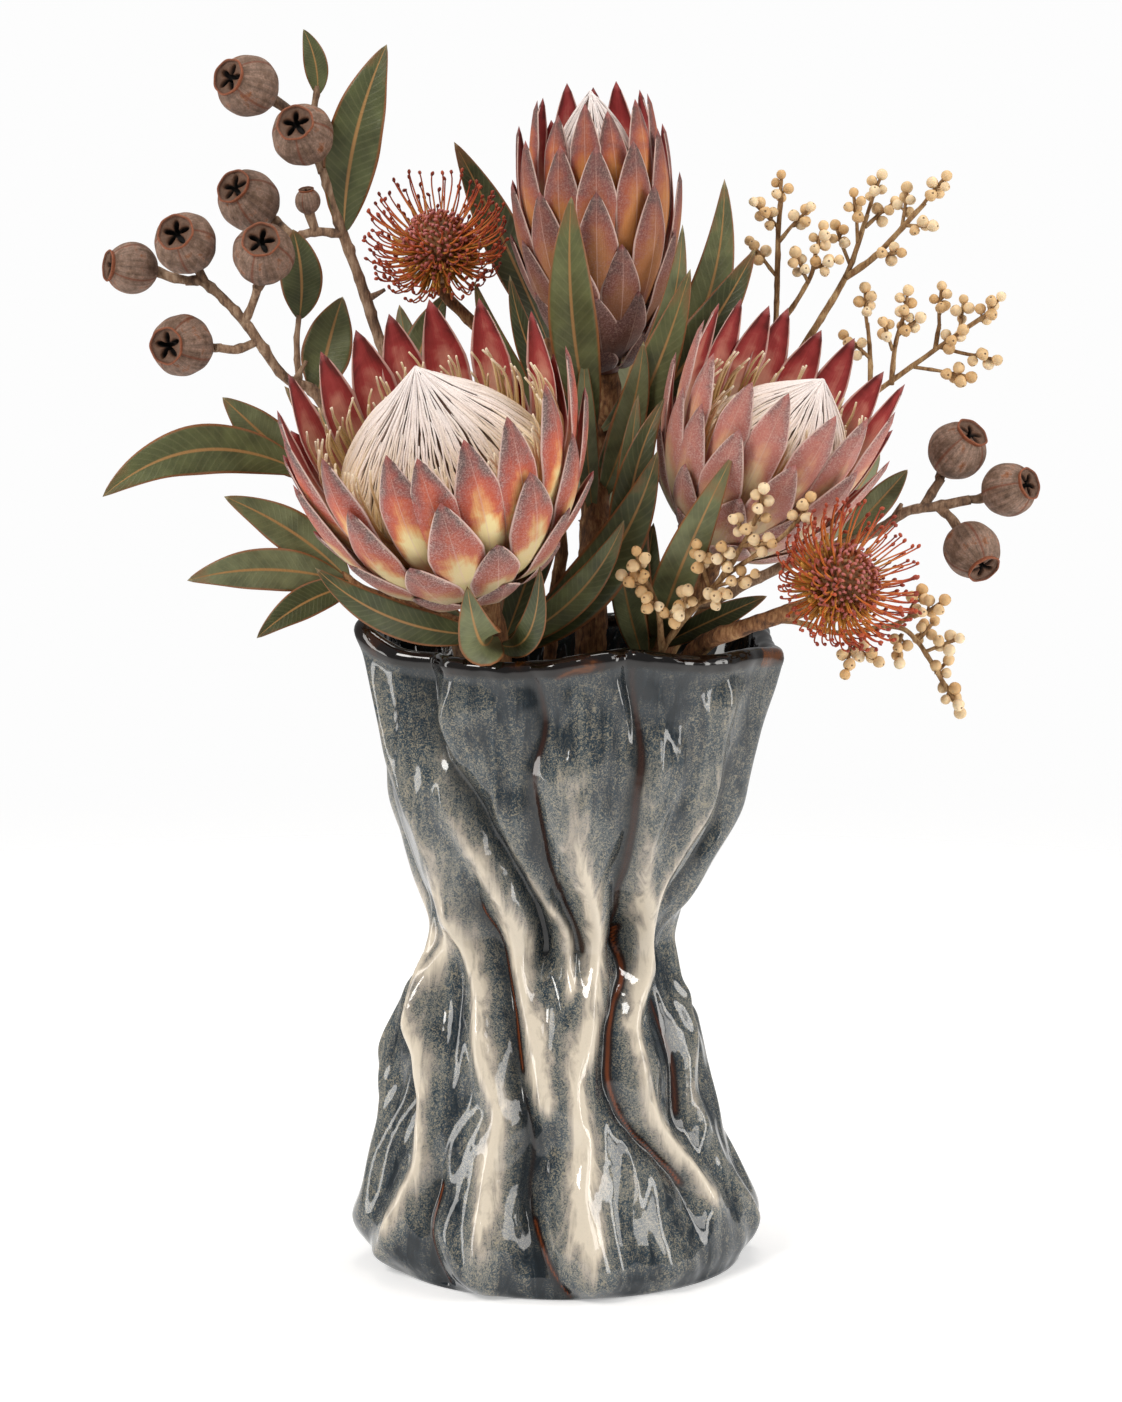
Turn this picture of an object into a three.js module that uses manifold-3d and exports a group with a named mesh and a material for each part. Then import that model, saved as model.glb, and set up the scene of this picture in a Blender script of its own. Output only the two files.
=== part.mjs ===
// A vase of proteas, gum nuts, pincushions and berry sprays. Millimetres, +Z up.
// The origin is the middle of the vase's foot, and the front of the bouquet faces -Y.
import * as THREE from "three";
import { mergeVertices } from "three/addons/utils/BufferGeometryUtils.js";
import Module from "manifold-3d";

const wasm = await Module();
wasm.setup();

// ---------------------------------------------------------------- driving dimensions
const VASE_HEIGHT = 248; // foot to the mean height of the lip
const VASE_FLOOR = 9; // thickness of the foot inside
const LIP_WALL = 5.5; // clay thickness at the lip
const FOOT_INSET = 4; // how far the resting ring is pulled in under the foot
const SEAT_GAP = 0.3; // what touching pieces are left apart
const NUT_RADIUS = 12.4;
const BERRY_RADIUS = 2.9;
const LEAF_THICKNESS = 1.0;
const BRACT_THICKNESS = 1.3;

const COLOURS = {
  glaze: "#56636b",
  bract: "#b5655a",
  bud_bract: "#9a5a4c",
  floret: "#e9ddc8",
  style: "#b4552f",
  gum: "#7a6258",
  berry: "#e0c79b",
  leaf: "#5a6346",
};

const v3 = (x, y, z) => new THREE.Vector3(x, y, z);
const at = (list) => v3(...list);
const radians = THREE.MathUtils.degToRad;
const clamp = THREE.MathUtils.clamp;
const mix = THREE.MathUtils.lerp;
const GOLDEN = radians(137.508);

// Straight lines between [place, value] pairs.
function between(pairs, place) {
  const below = pairs.filter(([start]) => start < place).length;
  const next = clamp(below, 1, pairs.length - 1);
  const [start, from] = pairs[next - 1];
  const [end, to] = pairs[next];
  return mix(from, to, clamp((place - start) / (end - start), 0, 1));
}

// ---------------------------------------------------------------- solids
// A closed skin over rings of points. A ring of one point closes that end in a fan.
// With alike set, the diagonals run from even points to odd ones, so that both faces of a thin
// blade split alike.
function loft(rings, alike = false) {
  const position = rings.flat().flatMap((p) => [p.x, p.y, p.z]);
  const index = [];
  let start = 0;
  for (let i = 0; i + 1 < rings.length; i++) {
    const here = rings[i].length;
    const next = rings[i + 1].length;
    const sides = Math.max(here, next);
    for (let j = 0; j < sides; j++) {
      const k = (j + 1) % sides;
      const [a, b] = here === 1 ? [start, start] : [start + j, start + k];
      const above = start + here;
      const [c, d] = next === 1 ? [above, above] : [above + k, above + j];
      if (here === 1) index.push(a, c, d);
      else if (next === 1) index.push(a, b, c);
      else if (!alike || j % 2 === 0) index.push(a, b, c, a, c, d);
      else index.push(a, b, d, b, c, d);
    }
    start += here;
  }
  const geometry = new THREE.BufferGeometry();
  geometry.setAttribute("position", new THREE.Float32BufferAttribute(position, 3));
  return geometry.setIndex(index);
}

// A manifold solid of a closed geometry, turned outside out if it was wound the other way.
function solid(geometry) {
  const bare = geometry.clone();
  ["normal", "uv"].forEach((name) => bare.deleteAttribute(name));
  const merged = mergeVertices(bare, 1e-4);
  const make = (triVerts) =>
    new wasm.Manifold(
      new wasm.Mesh({
        numProp: 3,
        vertProperties: merged.attributes.position.array,
        triVerts,
      }),
    );
  const faces = new Uint32Array(merged.index.array);
  const made = make(faces);
  return made.volume() < 0 ? make(faces.slice().reverse()) : made;
}

const union = (solids) => wasm.Manifold.union(solids);

// The largest body of a union, so that no loose scrap is left beside it.
function wholeOf(made) {
  return made.decompose().sort((a, b) => b.volume() - a.volume())[0];
}

function meshOf(name, made, colour) {
  const { vertProperties, triVerts } = wholeOf(made).getMesh();
  const geometry = new THREE.BufferGeometry();
  geometry.setAttribute("position", new THREE.BufferAttribute(vertProperties, 3));
  geometry.setIndex(new THREE.BufferAttribute(triVerts, 1));
  const material = new THREE.MeshStandardMaterial({
    color: COLOURS[colour],
    roughness: colour === "glaze" ? 0.12 : 0.7,
    metalness: 0,
  });
  const mesh = new THREE.Mesh(geometry, material);
  mesh.name = name;
  return mesh;
}

// Two directions square to a third.
function across(axis, towards = v3(0, -1, 0)) {
  const side = v3(0, 0, 0).crossVectors(axis, towards).normalize();
  return [side, v3(0, 0, 0).crossVectors(side, axis).normalize()];
}

// A round stem through points, thinning from one radius to the other. A stem that stands in
// the vase has its foot cut level.
function stem(points, radii, sides = 6) {
  const places = points.map(at);
  const last = places.length - 1;
  const rings = places.map((centre, i) => {
    const tangent = places[Math.min(i + 1, last)].clone().sub(places[Math.max(i - 1, 0)]);
    if (i === 0 && centre.z < WAIST) tangent.set(0, 0, 1);
    const [side, front] = across(tangent.normalize());
    const radius = mix(radii[0], radii[1], i / last);
    return Array.from({ length: sides }, (_, j) => {
      const turn = (2 * Math.PI * j) / sides;
      return centre
        .clone()
        .addScaledVector(side, radius * Math.cos(turn))
        .addScaledVector(front, radius * Math.sin(turn));
    });
  });
  return solid(loft([[places[0]], ...rings, [places[last]]]));
}

// A thin blade: at each row a centre, the way to its edge, its face normal, half its width and
// how far the edges are lifted along the normal. Its section is a flat diamond.
function blade(root, rows, tip, thickness) {
  const rings = rows.map(({ centre, side, normal, half, lift }) => [
    centre.clone().addScaledVector(side, -half).addScaledVector(normal, lift),
    centre.clone().addScaledVector(normal, thickness / 2),
    centre.clone().addScaledVector(side, half).addScaledVector(normal, lift),
    centre.clone().addScaledVector(normal, -thickness / 2),
  ]);
  return solid(loft([[root], ...rings, [tip]], true));
}

// A needle with a ring of points at each [centre, radius] pair, pointed at both ends.
function needle(root, beads, tip, sides = 3) {
  const [side, front] = across(tip.clone().sub(root).normalize(), v3(0.3, -1, 0.2));
  const rings = beads.map(([centre, radius]) =>
    Array.from({ length: sides }, (_, j) => {
      const turn = (2 * Math.PI * j) / sides;
      return centre
        .clone()
        .addScaledVector(side, radius * Math.cos(turn))
        .addScaledVector(front, radius * Math.sin(turn));
    }),
  );
  return solid(loft([[root], ...rings, [tip]]));
}

// A body of revolution about an axis from a profile of [radius, height], with optional flutes.
// lean is how far its top stands off the axis.
function turned(origin, axis, profile, sides, flute = () => 1, lean = v3(0, 0, 0)) {
  const [side, front] = across(axis);
  const top = profile.at(-1)[1];
  const rings = profile.map(([radius, height], row) => {
    const off = lean.clone().multiplyScalar((height / top) ** 2);
    const centre = origin.clone().addScaledVector(axis, height).add(off);
    if (radius === 0) return [centre];
    return Array.from({ length: sides }, (_, j) => {
      const turn = (2 * Math.PI * j) / sides;
      const reach = radius * flute(j, row);
      return centre
        .clone()
        .addScaledVector(side, reach * Math.cos(turn))
        .addScaledVector(front, reach * Math.sin(turn));
    });
  });
  return solid(loft(rings));
}

// ---------------------------------------------------------------- leaves
const LEAF_ROWS = [0.2, 0.42, 0.66, 0.86];
const SMALL_LEAF_ROWS = [0.3, 0.6, 0.84];
const SMALL_LEAF = 18.5; // the width below which the shorter list is enough
const LEAF_FACE = v3(0, -1, 0.25);
const LEAF_FOLD = 0.16; // how far the edges rise beside the rib, in half widths

// A lance-shaped leaf from its stalk to its tip. bow moves its middle off the straight line.
function leaf({ from, to, wide, bow = [0, 0, 0], face }) {
  const root = at(from);
  const tip = at(to);
  const middle = root.clone().add(tip).multiplyScalar(0.5).addScaledVector(at(bow), 2);
  const line = new THREE.QuadraticBezierCurve3(root, middle, tip);
  const facing = face ? at(face) : LEAF_FACE;
  const rows = (wide < SMALL_LEAF ? SMALL_LEAF_ROWS : LEAF_ROWS).map((t) => {
    const tangent = line.getTangent(t);
    const [side, normal] = across(tangent, facing);
    const half = (wide / 2) * Math.pow(Math.sin(Math.PI * Math.pow(t, 0.9)), 0.8);
    return { centre: line.getPoint(t), side, normal, half, lift: LEAF_FOLD * half };
  });
  return blade(root, rows, tip, LEAF_THICKNESS);
}

// ---------------------------------------------------------------- protea blooms
const BRACT_ROWS = [0.32, 0.72];
const BRACT_CUP = 0.12; // how far a bract's edges curl in, in half widths
const BRACT_SHARE = 0.86; // the most of its row's circle a bract takes up

// One bract, in [radius, height] about the bloom's axis: it springs from inside the receptacle,
// bellies out and ends in a point.
function bract({ origin, axis }, row, turn) {
  const [side, front] = across(axis);
  const out = side.clone().multiplyScalar(Math.cos(turn)).addScaledVector(front, Math.sin(turn));
  const round = v3(0, 0, 0).crossVectors(axis, out);
  const place = ([radius, height]) =>
    origin.clone().addScaledVector(out, radius).addScaledVector(axis, height);
  const [root, middle, tip] = [row.root, row.middle, row.tip].map(place);
  const pull = middle.clone().multiplyScalar(2).addScaledVector(root, -0.5);
  const line = new THREE.QuadraticBezierCurve3(root, pull.addScaledVector(tip, -0.5), tip);
  const rows = BRACT_ROWS.map((t) => {
    const centre = line.getPoint(t);
    const normal = v3(0, 0, 0).crossVectors(round, line.getTangent(t)).normalize();
    const reach = centre.clone().sub(origin).dot(out);
    const room = (BRACT_SHARE * Math.PI * reach) / row.turns.length;
    const swell = Math.pow(Math.sin(Math.PI * Math.pow(t, 1.3)), 0.7);
    const half = Math.min(row.half * swell, room);
    return { centre, side: round, normal, half, lift: -BRACT_CUP * half };
  });
  return blade(root, rows, tip, BRACT_THICKNESS);
}

// The rows of bracts on their receptacle. A row's turns are degrees round the bloom's axis: 0 is
// to the right, 90 to the front and 180 to the left.
function bracts(bloom) {
  const grown = bloom.rows.flatMap((row) => row.turns.map((turn) => bract(bloom, row, radians(turn))));
  return union([turned(bloom.origin, bloom.axis, bloom.receptacle, 9), ...grown]);
}

// The dome of packed florets, ribbed as the florets lie, with free ones standing round it.
function florets(bloom) {
  const { origin, axis, dome, ribs, loose, lean } = bloom;
  const flute = (j, row) => (row > 1 && j % 2 ? 0.93 : 1);
  const head = turned(origin, axis, dome, ribs * 2, flute, lean);
  const [side, front] = across(axis);
  const needles = Array.from({ length: loose.count }, (_, i) => {
    const turn = (2 * Math.PI * i) / loose.count;
    const out = side.clone().multiplyScalar(Math.cos(turn)).addScaledVector(front, Math.sin(turn));
    const place = ([radius, height]) =>
      origin.clone().addScaledVector(out, radius).addScaledVector(axis, height);
    const [root, bend, neck, tip] = loose.path.map(place);
    return needle(root, [[bend, 1], [neck, 0.9]], tip);
  });
  return union([head, ...needles]);
}

const unit = (x, y, z) => v3(x, y, z).normalize();

const LEFT_BLOOM = {
  origin: v3(-32, -41, 276),
  axis: unit(-0.22, -0.43, 0.87),
  receptacle: [[0, 0], [7.5, 0], [14.5, 7.5], [22.5, 19], [0, 19]],
  rows: [
    {
      root: [16, 14], middle: [46.5, 46], tip: [56, 97], half: 11.5,
      turns: [4, 36, 59, 80, 109, 135, 158, 183, 207, 227, 246, 261, 279, 301, 330],
    },
    {
      root: [14, 10.5], middle: [44, 32], tip: [59, 75], half: 11.5,
      turns: [2, 29, 56, 92, 130, 160, 186, 214, 252, 290, 328],
    },
    {
      root: [11, 7.5], middle: [35, 18], tip: [56, 48], half: 11,
      turns: [15, 41, 77, 110, 140, 172, 212, 256, 300],
    },
    {
      root: [8.5, 4.5], middle: [25, 7.5], tip: [42, 24], half: 9.5,
      turns: [31, 75, 120, 165, 215, 265, 318],
    },
    {
      root: [5.5, 2.3], middle: [14, 2.3], tip: [25, 10], half: 8,
      turns: [20, 92, 164, 236, 308],
    },
  ],
  dome: [[0, 19.3], [21.5, 19.3], [35, 35], [40, 50], [38, 61.5], [27, 76.5], [13, 88.5], [0, 100.5]],
  ribs: 14,
  loose: { count: 11, path: [[31.5, 41], [42, 52], [46.5, 70], [45.5, 79]] },
};

const RIGHT_BLOOM = {
  origin: v3(61, -12, 288),
  axis: unit(0.38, -0.33, 0.865),
  receptacle: [[0, 0], [6, 0], [11, 6], [17, 15], [0, 15]],
  rows: [
    {
      root: [12.5, 11.5], middle: [35, 42], tip: [42, 88], half: 10,
      turns: [23, 49, 70, 93, 116, 142, 175, 208, 241, 256, 274, 295, 316, 338],
    },
    {
      root: [10.5, 8.2], middle: [34, 28], tip: [47, 68], half: 10,
      turns: [8, 45, 78, 109, 131, 151, 198, 245, 295],
    },
    {
      root: [8.2, 5.4], middle: [27, 15], tip: [44, 43], half: 9.5,
      turns: [22, 60, 95, 128, 168, 214, 260, 304, 344],
    },
    {
      root: [6, 3.4], middle: [18.5, 6], tip: [34, 21], half: 8.5,
      turns: [30, 90, 150, 210, 270, 330],
    },
    {
      root: [4, 2.2], middle: [11, 2.4], tip: [21, 8], half: 6.5,
      turns: [0, 72, 144, 216, 288],
    },
  ],
  dome: [[0, 15.3], [14, 15.3], [23, 30], [28, 43], [26.5, 54], [19, 65], [9, 74], [0, 81]],
  lean: v3(9, 1, -2),
  ribs: 11,
  loose: { count: 8, path: [[19.5, 33], [30, 46], [33, 62], [32, 70]] },
};

const UPRIGHT_BLOOM = {
  origin: v3(17, 15, 356),
  axis: unit(-0.05, -0.2, 0.98),
  receptacle: [[0, 0], [6, 0], [9, 10], [11, 24], [0, 24]],
  rows: [
    {
      root: [8.6, 20], middle: [24, 65], tip: [21.5, 110], half: 9,
      turns: [10, 60, 98, 128, 167, 205, 245, 270, 299, 335],
    },
    {
      root: [7.8, 16], middle: [27.2, 55], tip: [29, 98], half: 10.5,
      turns: [30, 80, 112, 150, 195, 240, 295, 350],
    },
    {
      root: [6.9, 12.5], middle: [27, 41], tip: [34, 80], half: 10.5,
      turns: [2, 49, 93, 128, 165, 210, 255, 300],
    },
    {
      root: [5.9, 9], middle: [23, 27], tip: [33.5, 59], half: 9.5,
      turns: [20, 72, 108, 147, 190, 235, 280, 330],
    },
    {
      root: [4.8, 6], middle: [18, 14.5], tip: [28.5, 38], half: 9,
      turns: [0, 60, 92, 150, 205, 300],
    },
    {
      root: [3.7, 3], middle: [12.5, 5], tip: [20.5, 18], half: 7.5,
      turns: [25, 97, 169, 241, 313],
    },
  ],
  dome: [[0, 24.3], [9, 24.3], [16, 50], [18, 77], [13, 94], [6, 105], [0, 112]],
  ribs: 8,
  loose: { count: 0 },
};

// ---------------------------------------------------------------- pincushion heads
const STYLE_COUNT = 28;
const STYLE_RADIUS = 0.75;
const KNOB_RADIUS = 1.4;

// A cone of wiry styles on a small core. They spray outwards, then turn up to a knob.
function pincushion({ origin, axis, reach }) {
  const [side, front] = across(axis);
  const heart = origin.clone().addScaledVector(axis, 15);
  const core = [[0, 0], [4.5, 1], [9.5, 9], [11, 16], [8, 24], [0, 28]];
  const styles = Array.from({ length: STYLE_COUNT }, (_, i) => {
    const rise = mix(-0.62, 0.9, (i + 0.5) / STYLE_COUNT);
    const flat = Math.sqrt(1 - rise * rise);
    const out = side
      .clone()
      .multiplyScalar(flat * Math.cos(i * GOLDEN))
      .addScaledVector(front, flat * Math.sin(i * GOLDEN))
      .addScaledVector(axis, rise);
    const place = (length, lift) =>
      heart.clone().addScaledVector(out, length).addScaledVector(axis, lift);
    const beads = [
      [place(reach * 0.72, 0.5), STYLE_RADIUS],
      [place(reach * 0.88, 4.5), KNOB_RADIUS],
    ];
    return needle(place(6, 0), beads, place(reach * 0.92, 6));
  });
  return union([turned(origin, axis, core, 8), ...styles]);
}

// ---------------------------------------------------------------- gum nuts
// A woody capsule: a round urn with a narrow neck, and a star of open valves in its mouth.
function nut({ centre, mouth, scale = 1 }) {
  const size = NUT_RADIUS * scale;
  const profile = [
    [0, -1], [0.84, -0.56], [0.98, 0.22], [0.52, 0.95], [0.42, 0.9], [0, 0.35],
  ].map(([radius, height]) => [radius * size, height * size]);
  const star = (j, row) => (row === profile.length - 2 && j % 2 ? 0.4 : 1);
  return turned(at(centre), unit(...mouth), profile, 10, star);
}

// The stalk that joins a capsule to its branch.
function nutStalk({ centre, mouth, scale = 1, stalk }) {
  const back = unit(...mouth).multiplyScalar(-NUT_RADIUS * scale * 0.9);
  return stem([stalk, at(centre).add(back).toArray()], [1.6, 1.9], 4);
}

// A woody branch: its limbs, its capsules and its leaves.
function gumBranch({ limbs, nuts, leaves = [] }) {
  return union([
    ...limbs.map(({ path, radii }) => stem(path, radii, 4)),
    ...nuts.map(nut),
    ...nuts.map(nutStalk),
    ...leaves.map(leaf),
  ]);
}

// ---------------------------------------------------------------- berry sprays
// A twig that ends in a berry, with more berries out from its sides, turned from one another by
// the golden angle. Each side berry narrows to the point where it joins the twig.
const TWIG_RADIUS = 0.85;
const BERRY_SIDES = 4;
const BERRY_GIRTH = 1.08; // a faceted berry's radius, in radii of the round one
const SIDE_ROOTS = [4.6, 7, 9.4]; // how far below the twig's end each side berry joins it

function cluster({ at: place, from, count }, number) {
  const start = at(from);
  const end = at(place);
  const along = end.clone().sub(start).normalize();
  const [side, front] = across(along, v3(0.3, 0.2, 1));
  const tipOf = (middle, way) => middle.clone().addScaledVector(way, BERRY_RADIUS);
  const last = end.clone().addScaledVector(along, BERRY_RADIUS);
  const foot = start.clone().addScaledVector(along, 0.4);
  const stalk = [[foot, TWIG_RADIUS], [end, TWIG_RADIUS], [last, BERRY_RADIUS * BERRY_GIRTH]];
  const sideBerries = SIDE_ROOTS.slice(0, count - 1).map((below, i) => {
    const turn = i * GOLDEN + number;
    const out = side.clone().multiplyScalar(Math.cos(turn)).addScaledVector(front, Math.sin(turn));
    const way = out.multiplyScalar(1.4).add(along).normalize();
    const root = end.clone().addScaledVector(along, -below);
    const middle = root.clone().addScaledVector(way, BERRY_RADIUS * 1.3);
    const girth = [[middle, BERRY_RADIUS * BERRY_GIRTH]];
    return needle(root, girth, tipOf(middle, way), BERRY_SIDES);
  });
  return [needle(start, stalk, tipOf(last, along), BERRY_SIDES), ...sideBerries];
}

// A spray: its trunk and limbs, and the berried twigs on them.
function berrySpray({ limbs, clusters }) {
  return union([
    ...limbs.map(({ path, radii }) => stem(path, radii, 4)),
    ...clusters.flatMap(cluster),
  ]);
}

// ---------------------------------------------------------------- the vase
// Half widths of the vase and the drift of its middle by height, seen from the front.
const VASE_HALF = [
  [0, 75], [8, 80], [21, 79], [38, 73], [54, 67], [71, 64], [87, 62], [104, 56], [120, 50],
  [133, 46], [141, 50], [153, 57], [165, 63], [185, 71], [206, 75], [226, 78], [248, 82],
];
const VASE_DRIFT = [[0, 1], [21, -2], [54, -5], [87, -6], [133, -4], [165, 0], [206, 2], [248, 5]];
const VASE_DEPTH = [[0, 0.97], [133, 0.92], [248, 0.87]]; // depth over width
const CAVITY_INSET = 10; // the body's wall below the lip, from the mean outer surface

// Ridges and creases of the clay as falling [height, bearing] lines, with how far each stands
// out or cuts in, and how wide it is in degrees. Bearing 0 is the front, + to the right.
const RIDGES = [
  { line: [[248, -74], [218, -62], [173, -53], [145, -47], [120, -58], [104, -61]], high: 8.5, wide: 11 },
  { line: [[225, -38], [194, -37], [161, -28], [145, -20], [120, -10], [78, -2]], high: 7, wide: 8 },
  { line: [[185, -20], [174, -16], [156, -9], [139, 6], [120, 10]], high: 4, wide: 5 },
  { line: [[205, 0], [160, 10], [133, 19], [104, 17], [71, 10], [42, 9], [8, 11]], high: 8, wide: 8 },
  { line: [[205, 25], [165, 31], [133, 48], [104, 36], [75, 39], [50, 50], [36, 55]], high: 7, wide: 7 },
  { line: [[228, 53], [184, 49], [160, 41], [143, 46], [126, 50]], high: 5, wide: 7 },
  { line: [[240, 78], [214, 76], [186, 74], [165, 64], [150, 68]], high: 6, wide: 10 },
  { line: [[133, -66], [104, -61], [71, -49], [46, -46], [21, -58], [8, -64]], high: 7, wide: 7 },
  { line: [[140, -42], [120, -32], [104, -27], [71, -19], [42, -18], [5, -24]], high: 8, wide: 7 },
  { line: [[133, 84], [115, 86], [104, 76], [70, 64], [48, 72], [20, 78]], high: 6, wide: 8 },
  { line: [[110, -84], [87, -90], [60, -76], [20, -80]], high: 8, wide: 11 },
  { line: [[95, 95], [60, 84], [20, 94]], high: 6, wide: 12 },
];
const CREASES = [
  { line: [[252, -52], [238, -49], [210, -38], [186, -26], [161, -16], [133, -4]], deep: 8, wide: 5.5 },
  { line: [[250, -13], [206, -10], [173, -6], [153, 0], [133, 13]], deep: 4.5, wide: 4 },
  { line: [[250, 18], [218, 19], [186, 22], [157, 25], [140, 33]], deep: 4.5, wide: 4 },
  { line: [[140, 34], [126, 38], [104, 26], [83, 25], [66, 30], [40, 46]], deep: 5, wide: 5 },
  { line: [[112, -74], [104, -72], [87, -62], [67, -56]], deep: 4, wide: 5 },
  { line: [[150, -36], [132, -24], [108, -14], [88, -10]], deep: 5, wide: 5 },
  { line: [[40, -40], [17, -42], [4, -42]], deep: 4, wide: 5 },
  { line: [[78, -10], [48, -8], [28, -6]], deep: 4, wide: 6 },
  { line: [[108, 54], [99, 57], [84, 58], [66, 56]], deep: 4, wide: 5 },
];
const BACK_FOLDS = 7; // evenly spaced round the hidden half, swaying as they fall
for (let i = 0; i < BACK_FOLDS; i++) {
  const bearing = 112 + (136 * i) / (BACK_FOLDS - 1);
  const sway = (height) => bearing + 9 * Math.sin(height / 38 + i * 1.7);
  const line = [240, 190, 150, 110, 70, 20].map((height) => [height, sway(height)]);
  const beside = line.slice(1).map(([height, middle]) => [height, middle + 10]);
  RIDGES.push({ line, high: 7, wide: 9 });
  CREASES.push({ line: beside, deep: 3, wide: 4 });
}
const WALL_LEVEL = -3.5; // the wall between the ridges, from the mean outer surface
const DEEPEST = -6.5; // the deepest crease, which leaves the clay thick enough
const LINE_END = 13; // how far a ridge or crease takes to die away past its ends

// 1 on a line and 0 away from it.
function nearLine(line, wide, bearing, height) {
  const rising = [...line].reverse();
  const off = ((bearing - between(rising, height) + 540) % 360) - 180;
  const past = Math.max(rising[0][0] - height, height - line[0][0], 0);
  return Math.exp(-Math.pow(Math.abs(off / wide), 1.6) - Math.pow(past / LINE_END, 2));
}

// How far the pulled wall stands out, in mm.
function folds(bearing, height) {
  const turn = radians(bearing);
  const swayed = bearing + 1.8 * Math.sin(height / 13 + turn * 3) + 0.7 * Math.sin(height / 6.5 + bearing / 9);
  const ridges = RIDGES.map(({ line, high, wide }) => high * nearLine(line, wide, swayed, height));
  const creases = CREASES.map(({ line, deep, wide }) => -deep * nearLine(line, wide, swayed, height));
  const out = [...ridges, ...creases].reduce((sum, part) => sum + part, WALL_LEVEL);
  return Math.max(out, DEEPEST);
}

// The lip rises and dips as it goes round, and peaks at a pinched corner on the left.
function lipHeight(bearing) {
  const corner = ((bearing + 80 + 540) % 360) - 180;
  return VASE_HEIGHT + 2 * Math.sin(radians(bearing * 3 + 40)) + 8 * Math.exp(-((corner / 18) ** 2));
}

function wallPoint(bearing, height, radiusAt) {
  const turn = radians(bearing);
  const depth = between(VASE_DEPTH, height);
  const reach = radiusAt(bearing, height);
  const drift = between(VASE_DRIFT, height);
  const share = height / VASE_HEIGHT;
  const lifted = height + (lipHeight(bearing) - VASE_HEIGHT) * Math.pow(share, 6);
  return v3(drift + reach * Math.sin(turn), -reach * depth * Math.cos(turn), lifted);
}

const outside = (bearing, height) => between(VASE_HALF, height) + folds(bearing, height);

function inside(bearing, height) {
  const follow = clamp((height - 150) / (VASE_HEIGHT - 150), 0, 1);
  const plain = between(VASE_HALF, height) - CAVITY_INSET;
  return mix(plain, outside(bearing, height) - LIP_WALL, follow * follow);
}

const FRONT_COLUMNS = 36; // from one flank to the other, closer together than round the back
const BACK_COLUMNS = 16;
const FLANK = 100; // the bearing where the front ends
const COLUMNS = [
  ...Array.from({ length: FRONT_COLUMNS }, (_, i) => mix(-FLANK, FLANK, i / FRONT_COLUMNS)),
  ...Array.from({ length: BACK_COLUMNS }, (_, i) => mix(FLANK, 360 - FLANK, i / BACK_COLUMNS)),
];
const OUTER_ROWS = [2, 12, 26, 42, 58, 74, 90, 106, 121, 133, 145, 159, 175, 193, 214, 240];
const CAVITY_ROWS = [VASE_FLOOR, 70, 133, 165, 200, VASE_HEIGHT];
const ABOVE = 30; // how far the cavity's cutter reaches past the lip

function vase() {
  const round = (height, radiusAt) => COLUMNS.map((bearing) => wallPoint(bearing, height, radiusAt));
  const foot = (bearing, height) => between(VASE_HALF, height) - FOOT_INSET;
  const lip = (bearing, height) => outside(bearing, height) - 1;
  const skin = [
    [v3(0, 0, 0)],
    round(0, foot),
    ...OUTER_ROWS.map((height) => round(height, outside)),
    round(VASE_HEIGHT, lip),
    [v3(0, 0, VASE_HEIGHT - 40)],
  ];
  const hollow = CAVITY_ROWS.map((height) => round(height, inside));
  const top = hollow.at(-1).map((point) => v3(point.x, point.y, VASE_HEIGHT + ABOVE));
  const cavity = [
    [v3(0, 0, VASE_FLOOR)],
    ...hollow,
    top,
    [v3(0, 0, VASE_HEIGHT + ABOVE)],
  ];
  return solid(loft(skin)).subtract(solid(loft(cavity)));
}

// ---------------------------------------------------------------- the bouquet's layout
// Where each stem stands on the vase's floor and passes its waist.
const WAIST = 133;
const FLOOR_SPREAD = 1.4;
const footing = (x, y) => [
  [x * FLOOR_SPREAD, y * FLOOR_SPREAD, VASE_FLOOR + SEAT_GAP],
  [x, y, WAIST],
];

// A stem's last point stops just short of the bloom it carries, square to it.
function seat({ origin, axis }) {
  const end = origin.clone().addScaledVector(axis, -SEAT_GAP);
  return [end.clone().addScaledVector(axis, -14).toArray(), end.toArray()];
}

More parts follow.
